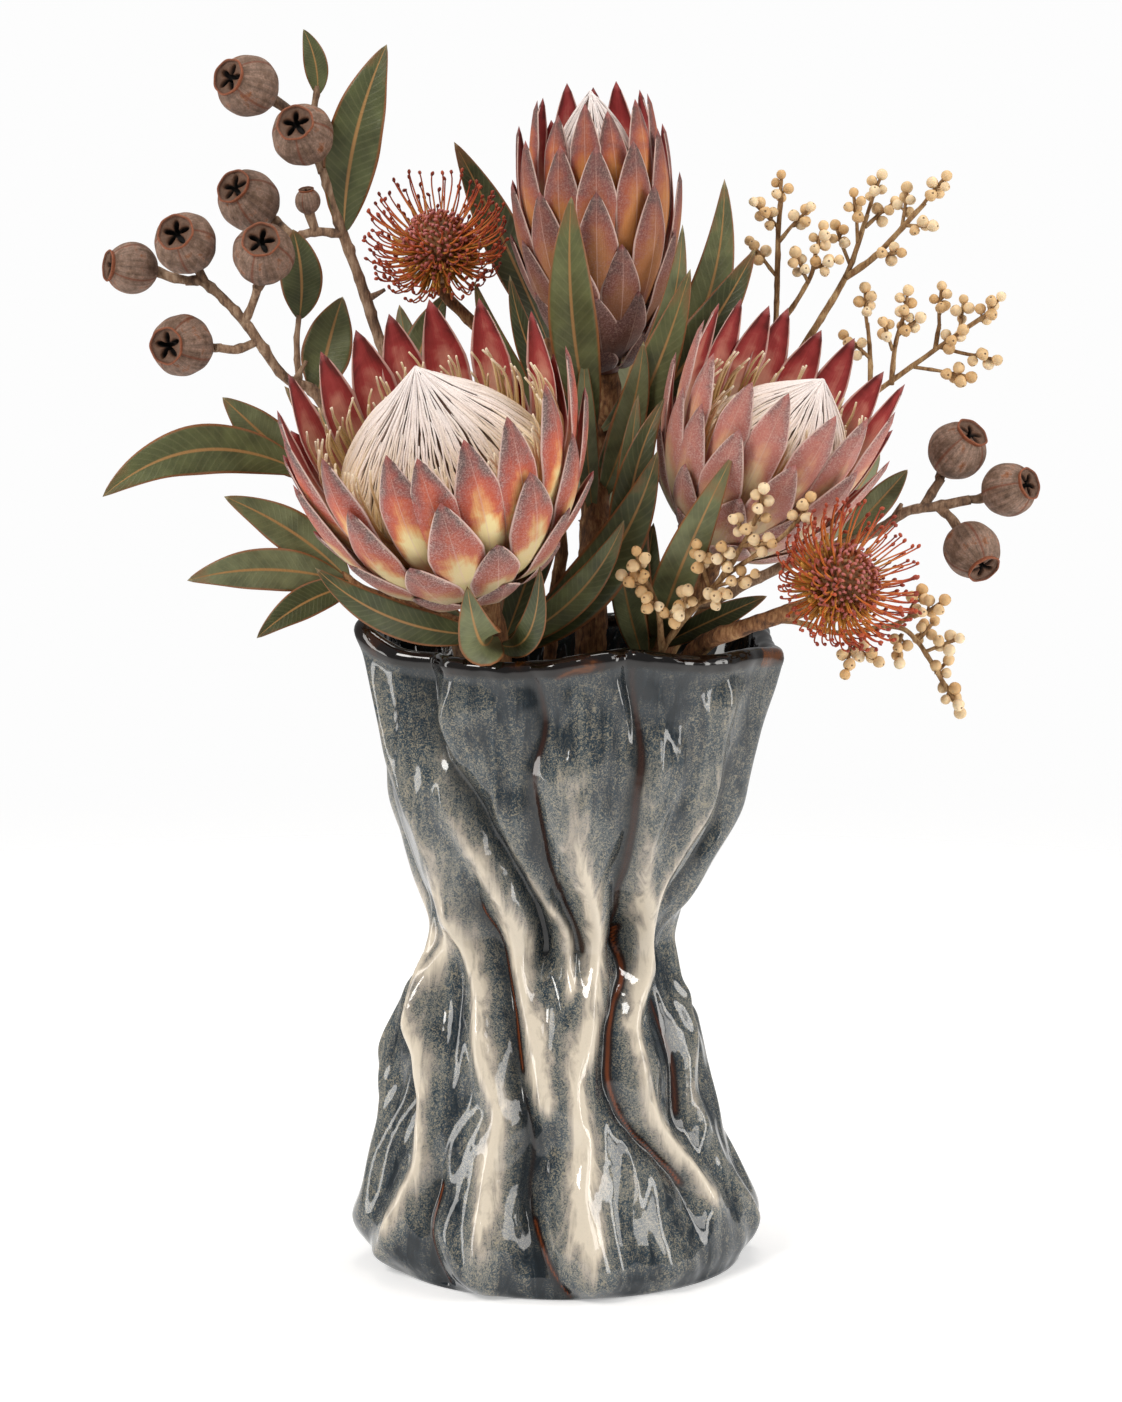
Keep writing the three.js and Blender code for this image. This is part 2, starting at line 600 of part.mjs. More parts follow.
const LEFT_STEM = {
  limbs: [
    { path: [...footing(-13, -15), [-21, -25, 215], ...seat(LEFT_BLOOM)], radii: [6, 6.6] },
    {
      path: [[-23, -28, 236], [-34, -22, 256], [-56, -14, 264], [-83, -18, 276], [-94, -8, 299],
        [-101, 0, 317]],
      radii: [2.6, 1.4],
    },
  ],
  leaves: [
    { from: [-99, 0, 314], to: [-133, -6, 347], wide: 17 },
    { from: [-100, -1, 316], to: [-178, -30, 310], wide: 20, bow: [-2, 0, 14] },
    { from: [-83, -18, 276], to: [-131, -28, 310], wide: 17, bow: [3, 0, 2] },
    { from: [-83, -18, 275], to: [-145, -36, 278], wide: 17, bow: [0, -2, 5] },
    { from: [-80, -18, 274], to: [-118, -40, 256], wide: 13, bow: [0, 0, 4] },
    { from: [-27, -37, 257], to: [-92, -89, 289], wide: 14, bow: [-3, -14, -5] },
    { from: [-26, -34, 257], to: [-35, -96, 283], wide: 17, bow: [0, -14, -10] },
    { from: [-25, -32, 253], to: [-8, -84, 289], wide: 11, bow: [4, -10, -10] },
    { from: [-24, -30, 251], to: [24, -60, 304], wide: 13, bow: [6, -2, -4] },
    { from: [-23, -28, 249], to: [37, -52, 330], wide: 21, bow: [8, 0, -8] },
    { from: [-27, -27, 250], to: [-88, 6, 300], wide: 17, bow: [-4, 8, -4], face: [0, 1, 0.4] },
    { from: [-25, -29, 246], to: [5, 0, 336], wide: 15, bow: [1, 4, -2] },
    { from: [-25, -28, 244], to: [-34, 26, 330], wide: 18, bow: [-4, 10, -8], face: [0, 1, 0.3] },
  ],
};

const UPRIGHT_STEM = {
  limbs: [
    { path: [...footing(3, 0), [12, 2, 252], [14, 9, 320], ...seat(UPRIGHT_BLOOM)], radii: [6, 6] },
    { path: [[13, 10, 322], [4, 22, 346], [-6, 28, 368]], radii: [1.8, 1.2] },
  ],
  leaves: [
    { from: [13, 4, 330], to: [4, -38, 426], wide: 19, bow: [-4, -8, 0] },
    { from: [14, 9, 328], to: [64, 2, 432], wide: 19, bow: [13, -4, -9] },
    { from: [15, 8, 332], to: [47, -22, 415], wide: 12, bow: [7, -6, -8] },
    { from: [14, 8, 318], to: [76, -6, 405], wide: 20, bow: [3, -2, -3] },
    { from: [14, 7, 312], to: [50, -26, 398], wide: 17, bow: [2, -6, -4] },
    { from: [15, 8, 304], to: [32, -24, 370], wide: 13, bow: [3, -4, 0] },
    { from: [13, 8, 326], to: [-20, -12, 395], wide: 11, bow: [-5, -4, -4] },
    { from: [13, 5, 296], to: [9, -16, 366], wide: 9, bow: [-1, -4, 0] },
    { from: [-5, 28, 366], to: [-43, 46, 446], wide: 17, bow: [1, 10, 0] },
    { from: [13, 8, 312], to: [-34, 4, 392], wide: 13, bow: [-6, 2, -4] },
    { from: [15, 10, 322], to: [40, 62, 410], wide: 19, bow: [2, 10, -6], face: [0, 1, 0.3] },
    { from: [13, 10, 316], to: [-16, 64, 400], wide: 18, bow: [-2, 10, -6], face: [0, 1, 0.3] },
    { from: [13, 8, 290], to: [14, 66, 350], wide: 18, bow: [0, 6, -8], face: [0, 1, 0.6] },
  ],
};

const RIGHT_STEM = {
  limbs: [
    {
      path: [...footing(17, -8), [29, -9, 215], [40, -9, 250], ...seat(RIGHT_BLOOM)],
      radii: [4.6, 5],
    },
  ],
  leaves: [
    { from: [38, -9, 250], to: [65, -71, 330], wide: 16.5, bow: [-6, -14, -6] },
    { from: [38, -9, 250], to: [40, -35, 349], wide: 16, bow: [-13, -15, 0] },
    { from: [37, -9, 250], to: [30, -28, 350], wide: 13, bow: [-6, -8, 0] },
    { from: [37, -9, 248], to: [80, -36, 272], wide: 10, bow: [2, -4, 2] },
    { from: [35, -9, 244], to: [36, -30, 300], wide: 12, bow: [-2, -6, 0] },
    { from: [34, -9, 240], to: [22, -34, 296], wide: 12, bow: [-2, -6, 0] },
    { from: [44, -7, 262], to: [84, 26, 345], wide: 18, bow: [0, 14, -8], face: [0.2, 1, 0.3] },
  ],
};

const TALL_GUM = {
  limbs: [
    {
      path: [...footing(-17, 6), [-30, 16, 250], [-44, 22, 300], [-60, 24, 340], [-71, 22, 364],
        [-79, 20, 389], [-87, 17, 412], [-94, 12, 436]],
      radii: [3.2, 2],
    },
    { path: [[-94, 12, 434], [-98, 15, 450], [-96, 16, 468]], radii: [1.9, 1.2] },
    { path: [[-87, 17, 410], [-97, 16, 411], [-106, 20, 408]], radii: [1.8, 1.5] },
    { path: [[-77, 21, 384], [-70, 18, 388]], radii: [1.4, 0.7] },
  ],
  nuts: [
    { centre: [-123, 12, 468], mouth: [-0.6, -0.74, 0.3], stalk: [-98, 15, 452] },
    { centre: [-101, 3, 449], mouth: [-0.2, -0.88, 0.4], stalk: [-95, 13, 437] },
    { centre: [-124, 24, 423], mouth: [-0.48, -0.72, 0.5], stalk: [-105, 20, 408] },
    { centre: [-100, 14, 423], mouth: [-0.1, -0.3, 0.95], scale: 0.42, stalk: [-97, 16, 411] },
  ],
  leaves: [
    { from: [-96, 16, 464], to: [-101, 12, 490], wide: 9.5, bow: [2, 0, 0] },
    { from: [-86, 17, 410], to: [-68, 5, 484], wide: 22, bow: [-4, -2, 0] },
    { from: [-62, 24, 342], to: [-46, 34, 386], wide: 15, bow: [-2, 2, 0] },
    { from: [-52, 23, 320], to: [-66, 62, 380], wide: 18, bow: [0, 8, -4], face: [0, 1, 0.3] },
  ],
};

const LEFT_GUM = {
  limbs: [
    {
      path: [...footing(-26, -4), [-42, 3, 250], [-66, 10, 295], [-86, 16, 325], [-98, 18, 347],
        [-110, 12, 354], [-125, 6, 376], [-140, 6, 391], [-148, 6, 392]],
      radii: [3.4, 1.8],
    },
    { path: [[-125, 6, 375], [-121, 3, 384], [-119, 0, 390]], radii: [1.7, 1.6] },
    { path: [[-120, 8, 368], [-128, 5, 365], [-136, 2, 366]], radii: [1.7, 1.6] },
    { path: [[-104, 15, 350], [-105, 16, 366], [-104, 16, 378]], radii: [1.4, 1] },
    { path: [[-106, 14, 352], [-101, 12, 360]], radii: [1.4, 0.8] },
  ],
  nuts: [
    { centre: [-147, -3, 407], mouth: [-0.25, -0.88, 0.4], stalk: [-140, 6, 391] },
    { centre: [-116, -8, 403], mouth: [-0.03, -0.86, 0.5], stalk: [-119, 0, 389] },
    { centre: [-169, 6, 397], mouth: [-0.9, -0.4, 0.12], scale: 0.84, stalk: [-147, 6, 392] },
    { centre: [-149, 0, 367], mouth: [-0.45, -0.88, 0.03], stalk: [-134, 2, 366] },
  ],
  leaves: [
    { from: [-104, 16, 376], to: [-106, 14, 412], wide: 17, bow: [2, 2, 0] },
    { from: [-97, 18, 345], to: [-87, 24, 385], wide: 20, bow: [-1, 2, 0] },
    { from: [-70, 12, 300], to: [-112, 44, 348], wide: 18, bow: [4, 8, -6], face: [0, 1, 0.3] },
  ],
};

const RIGHT_GUM = {
  limbs: [
    {
      path: [...footing(25, 6), [42, 13, 250], [62, 18, 264], [98, 14, 282], [124, 8, 292],
        [137, 4, 301], [148, 2, 303], [162, 1, 306]],
      radii: [3.2, 1.9],
    },
    { path: [[143, 3, 302], [147, 5, 308], [151, 6, 314]], radii: [1.9, 1.7] },
    { path: [[149, 2, 303], [153, 0, 300]], radii: [1.8, 1.7] },
    { path: [[132, 6, 298], [135, 3, 304]], radii: [1.4, 0.8] },
  ],
  nuts: [
    { centre: [157, 6, 325], mouth: [0.5, -0.5, 0.7], scale: 0.94, stalk: [150, 6, 313] },
    { centre: [177, 0, 310], mouth: [0.72, -0.6, 0.3], scale: 0.88, stalk: [161, 1, 306] },
    { centre: [162, -8, 287], mouth: [0.4, -0.65, -0.65], scale: 0.92, stalk: [152, 0, 301] },
  ],
  leaves: [
    { from: [111, 11, 287], to: [137, 0, 318], wide: 11, bow: [2, 0, 2] },
    { from: [98, 14, 282], to: [130, 50, 320], wide: 17, bow: [0, 10, -4], face: [0, 1, 0.5] },
  ],
};

const TALL_PIN = {
  origin: v3(-47, 25, 392),
  axis: unit(-0.1, -0.55, 0.82),
  reach: 31.5,
};
const TALL_PIN_STEM = [
  ...footing(-8, 15), [-4, 15, 250], [0, 17, 290], [-12, 24, 336], [-28, 29, 366],
];

const LOW_PIN = {
  origin: v3(98, -69, 275),
  axis: unit(0.5, -0.72, 0.48),
  reach: 31.5,
};
const LOW_PIN_STEM = [...footing(11, -21), [34, -30, 215], [50, -37, 249], [70, -55, 262]];

const UPPER_BERRIES = {
  limbs: [
    {
      path: [...footing(8, 18), [24, 23, 220], [42, 28, 262], [62, 33, 295], [82, 35, 335],
        [86, 34, 370], [87, 34, 410], [88, 34, 424]],
      radii: [2.4, 1],
    },
    { path: [[82, 35, 335], [96, 34, 362], [114, 36, 392], [123, 40, 417]], radii: [1.9, 0.9] },
    { path: [[114, 36, 392], [126, 32, 401], [145, 28, 422]], radii: [1.4, 0.9] },
    { path: [[86, 34, 370], [99, 30, 391], [102, 28, 404]], radii: [1.2, 0.8] },
  ],
  clusters: [
    { from: [88, 34, 423], at: [88, 33, 431], count: 2 },
    { from: [87, 34, 412], at: [78, 28, 421], count: 3 },
    { from: [87, 34, 406], at: [98, 25, 419], count: 2 },
    { from: [86, 34, 393], at: [77, 40, 405], count: 2 },
    { from: [102, 28, 402], at: [104, 27, 411], count: 2 },
    { from: [99, 30, 390], at: [94, 24, 401], count: 2 },
    { from: [101, 29, 396], at: [109, 24, 399], count: 2 },
    { from: [122, 40, 414], at: [128, 42, 431], count: 2 },
    { from: [116, 37, 397], at: [111, 43, 411], count: 2 },
    { from: [119, 38, 405], at: [117, 33, 424], count: 2 },
    { from: [122, 39, 412], at: [133, 44, 421], count: 2 },
    { from: [144, 28, 421], at: [152, 26, 431], count: 2 },
    { from: [136, 30, 412], at: [138, 34, 426], count: 2 },
    { from: [137, 30, 413], at: [146, 22, 413], count: 1 },
    { from: [126, 32, 401], at: [134, 27, 402], count: 1 },
  ],
};

const RIGHT_BERRIES = {
  limbs: [
    {
      path: [...footing(17, 14), [36, 20, 222], [56, 25, 258], [82, 31, 296], [112, 29, 334],
        [124, 26, 345], [149, 20, 364], [167, 16, 377]],
      radii: [2.2, 0.9],
    },
    { path: [[132, 23.3, 350], [133, 18, 366], [136, 14, 378]], radii: [1.1, 0.8] },
    { path: [[124, 26, 345], [124, 32, 362], [123, 34, 374]], radii: [1.1, 0.8] },
    { path: [[149, 20, 364], [151, 24, 374]], radii: [1, 0.8] },
  ],
  clusters: [
    { from: [166, 16, 376], at: [173, 13, 384], count: 3 },
    { from: [158, 18, 370], at: [160, 22, 382], count: 1 },
    { from: [151, 24, 372], at: [152, 28, 387], count: 2 },
    { from: [149, 20, 364], at: [158, 15, 371], count: 2 },
    { from: [151, 20, 365], at: [171, 12, 361], count: 2 },
    { from: [141, 22, 357], at: [161, 14, 354], count: 2 },
    { from: [136, 14, 377], at: [137, 12, 386], count: 2 },
    { from: [134, 17, 370], at: [141, 13, 376], count: 2 },
    { from: [132, 19, 364], at: [128, 12, 374], count: 1 },
    { from: [123, 34, 372], at: [122, 34, 386], count: 2 },
    { from: [124, 31, 360], at: [115, 32, 368], count: 2 },
  ],
};

const FRONT_BERRIES = {
  limbs: [
    {
      path: [...footing(0, -22), [22, -38, 215], [39, -47, 252], [50, -52, 268], [61, -62, 282],
        [69, -70, 296], [75, -76, 309]],
      radii: [2.4, 0.9],
    },
    { path: [[39, -47, 252], [37, -57, 270], [31, -62, 284]], radii: [1.3, 0.8] },
    { path: [[61, -62, 282], [74, -71, 292], [84, -77, 300], [91, -79, 308]], radii: [1, 0.8] },
  ],
  clusters: [
    { from: [75, -76, 308], at: [76, -79, 316], count: 3 },
    { from: [71, -72, 300], at: [66, -77, 305], count: 2 },
    { from: [68, -69, 295], at: [78, -80, 297], count: 2 },
    { from: [63, -64, 285], at: [61, -73, 294], count: 2 },
    { from: [57, -58, 277], at: [52, -68, 294], count: 3 },
    { from: [58, -59, 278], at: [72, -70, 284], count: 2 },
    { from: [52, -54, 271], at: [62, -68, 276], count: 2 },
    { from: [46, -50, 262], at: [48, -62, 276], count: 2 },
    { from: [38, -54, 266], at: [44, -66, 268], count: 2 },
    { from: [31, -61, 283], at: [29, -65, 291], count: 3 },
    { from: [34, -60, 278], at: [25, -60, 282], count: 2 },
    { from: [37, -57, 270], at: [33, -66, 274], count: 2 },
    { from: [89, -78, 305], at: [93, -80, 313], count: 2 },
  ],
};

const LOW_BERRIES = {
  limbs: [
    {
      path: [...footing(24, -12), [42, -22, 215], [56, -28, 249], [84, -34, 262], [108, -40, 258],
        [128, -42, 261], [138, -42, 255], [150, -42, 236]],
      radii: [2, 0.9],
    },
    { path: [[128, -42, 261], [137, -46, 266]], radii: [1, 0.8] },
    { path: [[108, -40, 258], [116, -46, 252]], radii: [1, 0.8] },
  ],
  clusters: [
    { from: [149, -42, 238], at: [154, -42, 229], count: 3 },
    { from: [146, -42, 243], at: [150, -36, 246], count: 2 },
    { from: [141, -42, 251], at: [152, -46, 256], count: 2 },
    { from: [137, -42, 255], at: [144, -36, 261], count: 2 },
    { from: [132, -42, 258], at: [131, -45, 249], count: 2 },
    { from: [136, -46, 265], at: [146, -49, 271], count: 2 },
    { from: [134, -44, 264], at: [139, -38, 273], count: 2 },
    { from: [115, -45, 252], at: [121, -50, 249], count: 2 },
    { from: [112, -43, 254], at: [110, -49, 245], count: 2 },
  ],
};

function leafyStem({ limbs, leaves }) {
  return union([
    ...limbs.map(({ path, radii }, i) => stem(path, radii, i === 0 ? 8 : 5)),
    ...leaves.map(leaf),
  ]);
}

// A pincushion's stem runs straight up into its core, so flower and stem are one piece.
function pinFlower(head, path, radii) {
  const { origin, axis } = head;
  const neck = origin.clone().addScaledVector(axis, -8).toArray();
  const top = origin.clone().addScaledVector(axis, 4).toArray();
  return union([stem([...path, neck, top], radii, 6), pincushion(head)]);
}

const bouquet = new THREE.Group();
bouquet.add(
  meshOf("vase", vase(), "glaze"),
  meshOf("left_protea_bracts", bracts(LEFT_BLOOM), "bract"),
  meshOf("left_protea_florets", florets(LEFT_BLOOM), "floret"),
  meshOf("left_protea_leafy_stem", leafyStem(LEFT_STEM), "leaf"),
  meshOf("right_protea_bracts", bracts(RIGHT_BLOOM), "bract"),
  meshOf("right_protea_florets", florets(RIGHT_BLOOM), "floret"),
  meshOf("right_protea_leafy_stem", leafyStem(RIGHT_STEM), "leaf"),
  meshOf("upright_protea_bracts", bracts(UPRIGHT_BLOOM), "bud_bract"),
  meshOf("upright_protea_florets", florets(UPRIGHT_BLOOM), "floret"),
  meshOf("upright_protea_leafy_stem", leafyStem(UPRIGHT_STEM), "leaf"),
  meshOf("tall_pincushion", pinFlower(TALL_PIN, TALL_PIN_STEM, [2.6, 2.4]), "style"),
  meshOf("low_pincushion", pinFlower(LOW_PIN, LOW_PIN_STEM, [3.4, 3.2]), "style"),
  meshOf("tall_gum_branch", gumBranch(TALL_GUM), "gum"),
  meshOf("left_gum_branch", gumBranch(LEFT_GUM), "gum"),
  meshOf("right_gum_branch", gumBranch(RIGHT_GUM), "gum"),
  meshOf("upper_berry_spray", berrySpray(UPPER_BERRIES), "berry"),
  meshOf("right_berry_spray", berrySpray(RIGHT_BERRIES), "berry"),
  meshOf("front_berry_spray", berrySpray(FRONT_BERRIES), "berry"),
  meshOf("low_berry_spray", berrySpray(LOW_BERRIES), "berry"),
);

export default bouquet;
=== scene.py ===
# %% [markdown]
# # A folded stoneware vase of dried proteas, gum nuts, pincushions and berries
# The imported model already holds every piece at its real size. This lesson dresses it: each plain
# solid gives way to a finer mesh that stands in the same place, grown by a few small functions
# that repeat what the plants do. All lengths below are in millimetres until a mesh is made.

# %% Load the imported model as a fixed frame
import math
from functools import cached_property

import bpy
import numpy as np
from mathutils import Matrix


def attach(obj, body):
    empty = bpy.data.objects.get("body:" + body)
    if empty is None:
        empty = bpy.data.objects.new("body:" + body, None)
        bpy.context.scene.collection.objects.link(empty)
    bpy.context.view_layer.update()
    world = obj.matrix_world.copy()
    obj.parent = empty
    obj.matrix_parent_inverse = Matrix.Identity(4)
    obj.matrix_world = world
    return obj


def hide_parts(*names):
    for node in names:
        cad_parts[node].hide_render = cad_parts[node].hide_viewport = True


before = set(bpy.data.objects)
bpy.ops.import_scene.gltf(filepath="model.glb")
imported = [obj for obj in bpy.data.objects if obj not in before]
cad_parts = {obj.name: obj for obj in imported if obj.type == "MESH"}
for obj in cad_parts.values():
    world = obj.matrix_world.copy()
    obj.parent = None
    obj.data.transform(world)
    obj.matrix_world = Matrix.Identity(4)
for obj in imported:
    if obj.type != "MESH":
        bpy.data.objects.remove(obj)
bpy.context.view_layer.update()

# %% [markdown]
# ## The camera
# The photograph looks a little down on the bouquet from straight ahead. The vase's mouth shows as
# a thin ellipse, which gives the tilt, and its sides hardly converge, which asks for a long lens
# at a distance. The lens is set for the frame's long side.

# %% Camera
camera_data = bpy.data.cameras.new("camera")
camera_data.lens = 104.2
camera_data.sensor_width = 36.0
camera = bpy.data.objects.new("camera", camera_data)
camera.location = (0.0, -1.6, 0.46)
camera.rotation_euler = (math.radians(90 - 8.336), 0.0, 0.0)
bpy.context.scene.collection.objects.link(camera)
bpy.context.scene.camera = camera
print("camera at", tuple(camera.location))

# %% [markdown]
# ## Small helpers for shapes
# Stems, styles, leaves and nuts are all skins over rings of points. A helper gives two directions
# square to a third, another rounds a given path into a smooth one, and the class Skin
# gathers rings into one mesh. Each point also remembers how it grew: how far along the blade it
# is, how far across, and which face it is on. The materials paint by that memory, so nothing
# needs to be unwrapped.

# %% Directions, paths and skins
MM = 0.001
GOLDEN = math.radians(137.508)


def unit(vector):
    vector = np.asarray(vector, float)
    return vector / np.linalg.norm(vector)


def across(axis, towards=(0, -1, 0)):
    side = unit(np.cross(axis, towards))
    return side, np.cross(side, axis)


def turned_to(axis, turn, towards=(0, -1, 0)):
    """The direction out from an axis at a turn round it, or one for each of many turns."""
    side, front = across(axis, towards)
    turn = np.asarray(turn)[..., None]
    return side * np.cos(turn) + front * np.sin(turn)


def smooth(points, steps):
    """A Catmull-Rom curve through the points, with a number of steps in each span."""
    places = np.array(points, float)
    chain = np.vstack([2 * places[0] - places[1], places, 2 * places[-1] - places[-2]])
    t = (np.arange(steps) / steps)[:, None]
    spans = [
        0.5 * (2 * b + (c - a) * t + (2 * a - 5 * b + 4 * c - d) * t**2 + (3 * b - a - 3 * c + d) * t**3)
        for a, b, c, d in zip(chain, chain[1:], chain[2:], chain[3:])
    ]
    return np.vstack([*spans, places[-1:]])


def run_along(path):
    """How far each point of a path is from its start."""
    return np.concatenate([[0], np.cumsum(np.linalg.norm(np.diff(path, axis=0), axis=1))])


def bezier(start, pull, end, t):
    """Points and directions of a curve that leaves start towards pull and comes into end."""
    t = t[:, None]
    points = (1 - t) ** 2 * start + 2 * t * (1 - t) * pull + t**2 * end
    ways = 2 * (1 - t) * (pull - start) + 2 * t * (end - pull)
    return points, ways / np.linalg.norm(ways, axis=1, keepdims=True)


class Skin:
    """Rings of points, the faces over them, and what each point remembers of its growth."""

    def __init__(self):
        self.points = []
        self.grow = []
        self.birth = []
        self.faces = []
        self.count = 0

    def cover(self, rings, grow, birth=0.0, root=None, tip=None):
        """Closes rings (rows, columns, 3) of points, with a fan of faces at each end.

        birth is one or two numbers that every point of the piece remembers.
        """
        rows, columns = rings.shape[:2]
        ends = np.array([
            rings[0].mean(0) if root is None else root,
            rings[-1].mean(0) if tip is None else tip,
        ])
        points = np.vstack([rings.reshape(-1, 3), ends])
        place = np.arange(rows * columns).reshape(rows, columns)
        beside = np.roll(place, -1, axis=1)
        quads = np.stack([place[:-1], beside[:-1], beside[1:], place[1:]], -1).reshape(-1, 4)
        bottom = np.stack([np.full(columns, rows * columns), beside[0], place[0]], -1)
        top = np.stack([np.full(columns, rows * columns + 1), place[-1], beside[-1]], -1)
        middle = points - points.mean(0)
        halves = np.vstack([quads[:, [0, 1, 2]], quads[:, [0, 2, 3]], bottom, top])
        a, b, c = (middle[halves[:, i]] for i in range(3))
        inside_out = np.einsum("ij,ij->", a, np.cross(b, c)) < 0
        for faces in (quads, bottom, top):
            faces = faces[:, ::-1] if inside_out else faces
            self.faces.extend((faces + self.count).tolist())
        grow = np.broadcast_to(grow, (rows, columns, 3))
        self.grow.append(np.vstack([grow.reshape(-1, 3), grow[0].mean(0), grow[-1].mean(0)]))
        self.birth.append(np.broadcast_to((*np.atleast_1d(birth), 0, 0)[:3], (len(points), 3)))
        self.points.append(points)
        self.count += len(points)

    def blade(self, flat, normal, top, under, run, birth, root, tip):
        """A blade with two faces, which stand top and under off its flat middle."""
        upper = flat + normal[:, None] * top[..., None]
        lower = (flat + normal[:, None] * under[..., None])[:, ::-1]
        wide = np.linspace(-1, 1, flat.shape[1])
        sides = np.repeat([0, 1], len(wide))
        grow = np.broadcast_arrays(run[:, None], np.concatenate([wide, wide[::-1]]), sides)
        self.cover(np.concatenate([upper, lower], 1), np.stack(grow, -1), birth, root, tip)

    def tube(self, path, radii, sides, birth, lumps=None):
        """A round limb along a path. lumps is a share (rows, sides) by which it stands proud."""
        path = np.asarray(path, float)
        ways = np.gradient(path, axis=0)
        ways /= np.linalg.norm(ways, axis=1, keepdims=True)
        start = across(ways[0], (0.31, -0.87, 0.38))[0]
        lefts = []
        for way in ways:
            start = unit(start - way * (start @ way))
            lefts.append(start)
        lefts = np.array(lefts)
        fronts = np.cross(ways, lefts)
        turn = 2 * math.pi * np.arange(sides) / sides
        reach = np.broadcast_to(np.asarray(radii, float)[..., None], (len(path), sides))
        if lumps is not None:
            reach = reach * (1 + lumps)
        rings = path[:, None] + reach[..., None] * (
            lefts[:, None] * np.cos(turn)[:, None] + fronts[:, None] * np.sin(turn)[:, None]
        )
        run = np.linspace(0, 1, len(path))[:, None]
        grow = np.stack(np.broadcast_arrays(run, turn[None] / math.pi - 1, 0.0), -1)
        self.cover(rings, grow, birth)


def make_piece(name, skin, material, nodes):
    """Turns a skin into a mesh in metres that rides on the body and stands for CAD nodes."""
    mesh = bpy.data.meshes.new(name)
    mesh.from_pydata((np.vstack(skin.points) * MM).tolist(), [], skin.faces)
    for label, values in (("grow", skin.grow), ("birth", skin.birth)):
        layer = mesh.attributes.new(label, "FLOAT_VECTOR", "POINT")
        layer.data.foreach_set("vector", np.vstack(values).astype(np.float32).ravel())
    mesh.shade_smooth()
    mesh.materials.append(material)
    piece = bpy.data.objects.new(name, mesh)
    bpy.context.scene.collection.objects.link(piece)
    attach(piece, "root")
    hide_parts(*nodes)
    print(f"{name}: {len(mesh.polygons)} faces")


# %% [markdown]
# ## Small helpers for finishes
# Colours are picked as sRGB hex values and turned to the linear numbers that a shader works in.
# One function adds a node, sets it and links it, and the class Paint has a short word for each
# kind that is used often. Pattern sizes are given in millimetres.

# %% Colours and nodes
FACTOR, FIRST, SECOND, RESULT = 0, 6, 7, 2  # sockets of a Mix node that mixes colours


def colour(hex_value):
    parts = [int(hex_value[i:i + 2], 16) / 255 for i in (1, 3, 5)]
    linear = [p / 12.92 if p <= 0.04045 else ((p + 0.055) / 1.055) ** 2.4 for p in parts]
    return (*linear, 1.0)


def add(tree, kind, inputs=None, take=0, stops=None, **settings):
    """Adds a node with its settings and links, and hands back one of its outputs."""
    made = tree.nodes.new("ShaderNode" + kind)
    for name, value in settings.items():
        setattr(made, name, value)
    for socket, value in (inputs or {}).items():
        if isinstance(value, bpy.types.NodeSocket):
            tree.links.new(value, made.inputs[socket])
        else:
            made.inputs[socket].default_value = value
    if stops:
        band = made.color_ramp.elements
        while len(band) < len(stops):
            band.new(1.0)
        for stop, (place, hex_value) in zip(band, stops):
            stop.position = place
            stop.color = colour(hex_value)
    return made.outputs[take] if made.outputs else None


class Paint:
    """A material in the making."""

    def __init__(self, name):
        self.made = bpy.data.materials.new(name)
        self.made.use_nodes = True
        self.tree = self.made.node_tree
        self.tree.nodes.clear()

    def add(self, kind, *args, **settings):
        return add(self.tree, kind, *args, **settings)

    def remembered(self, label):
        vector = self.add("Attribute", take="Vector", attribute_name=label)
        return self.add("SeparateXYZ", {0: vector}).node.outputs

    @cached_property
    def grow(self):
        """What each point remembers of its growth: along, across and which side."""
        return self.remembered("grow")

    @cached_property
    def birth(self):
        return self.remembered("birth")

    @cached_property
    def spot(self):
        return self.add("TexCoord", take="Object")

    def stretch(self, place, *scale):
        return self.add("Mapping", {"Vector": place, "Scale": scale})

    def noise(self, size, detail, place=None, roughness=0.5, distortion=0.0, whole=1 / MM):
        """A noise whose pattern is size millimetres wide, or size of another whole."""
        return self.add("TexNoise", {
            "Vector": self.spot if place is None else place, "Scale": whole / size,
            "Detail": float(detail), "Roughness": roughness, "Distortion": distortion,
        })

    def ramp(self, value, low, high, start=0.0, end=1.0):
        """Turns low to high into start to end, and holds the ends."""
        return self.add("MapRange", {0: value, 1: low, 2: high, 3: start, 4: end})

    def band(self, value, *stops):
        return self.add("ValToRGB", {0: value}, stops=stops)

    def math(self, operation, *values, **settings):
        return self.add("Math", dict(enumerate(values)), operation=operation, **settings)

    def plus(self, first, second):
        return self.math("ADD", first, second)

    def times(self, first, second, rest=None, **settings):
        """first times second, plus the rest if there is one."""
        if rest is None:
            return self.math("MULTIPLY", first, second, **settings)
        return self.math("MULTIPLY_ADD", first, second, rest)

    def mix(self, factor, first, second, how="MIX"):
        """first with second over it. second may be a hex value."""
        second = colour(second) if isinstance(second, str) else second
        inputs = {FACTOR: factor, FIRST: first, SECOND: second}
        return self.add("Mix", inputs, RESULT, data_type="RGBA", blend_type=how)

    def bump(self, height, high, strength):
        """Relief that is high millimetres high."""
        return self.add("Bump", {"Height": height, "Distance": high * MM, "Strength": strength}, "Normal")

    def finish(self, tone, roughness, bump=None, ior=1.45, **rest):
        """The shader, with constants set straight on its sockets, and the output."""
        inputs = {"Base Color": tone, "Roughness": roughness, "IOR": ior}
        if bump is not None:
            inputs["Normal"] = bump
        inputs.update({label.replace("_", " "): value for label, value in rest.items()})
        self.add("OutputMaterial", {"Surface": self.add("BsdfPrincipled", inputs)})
        return self.made


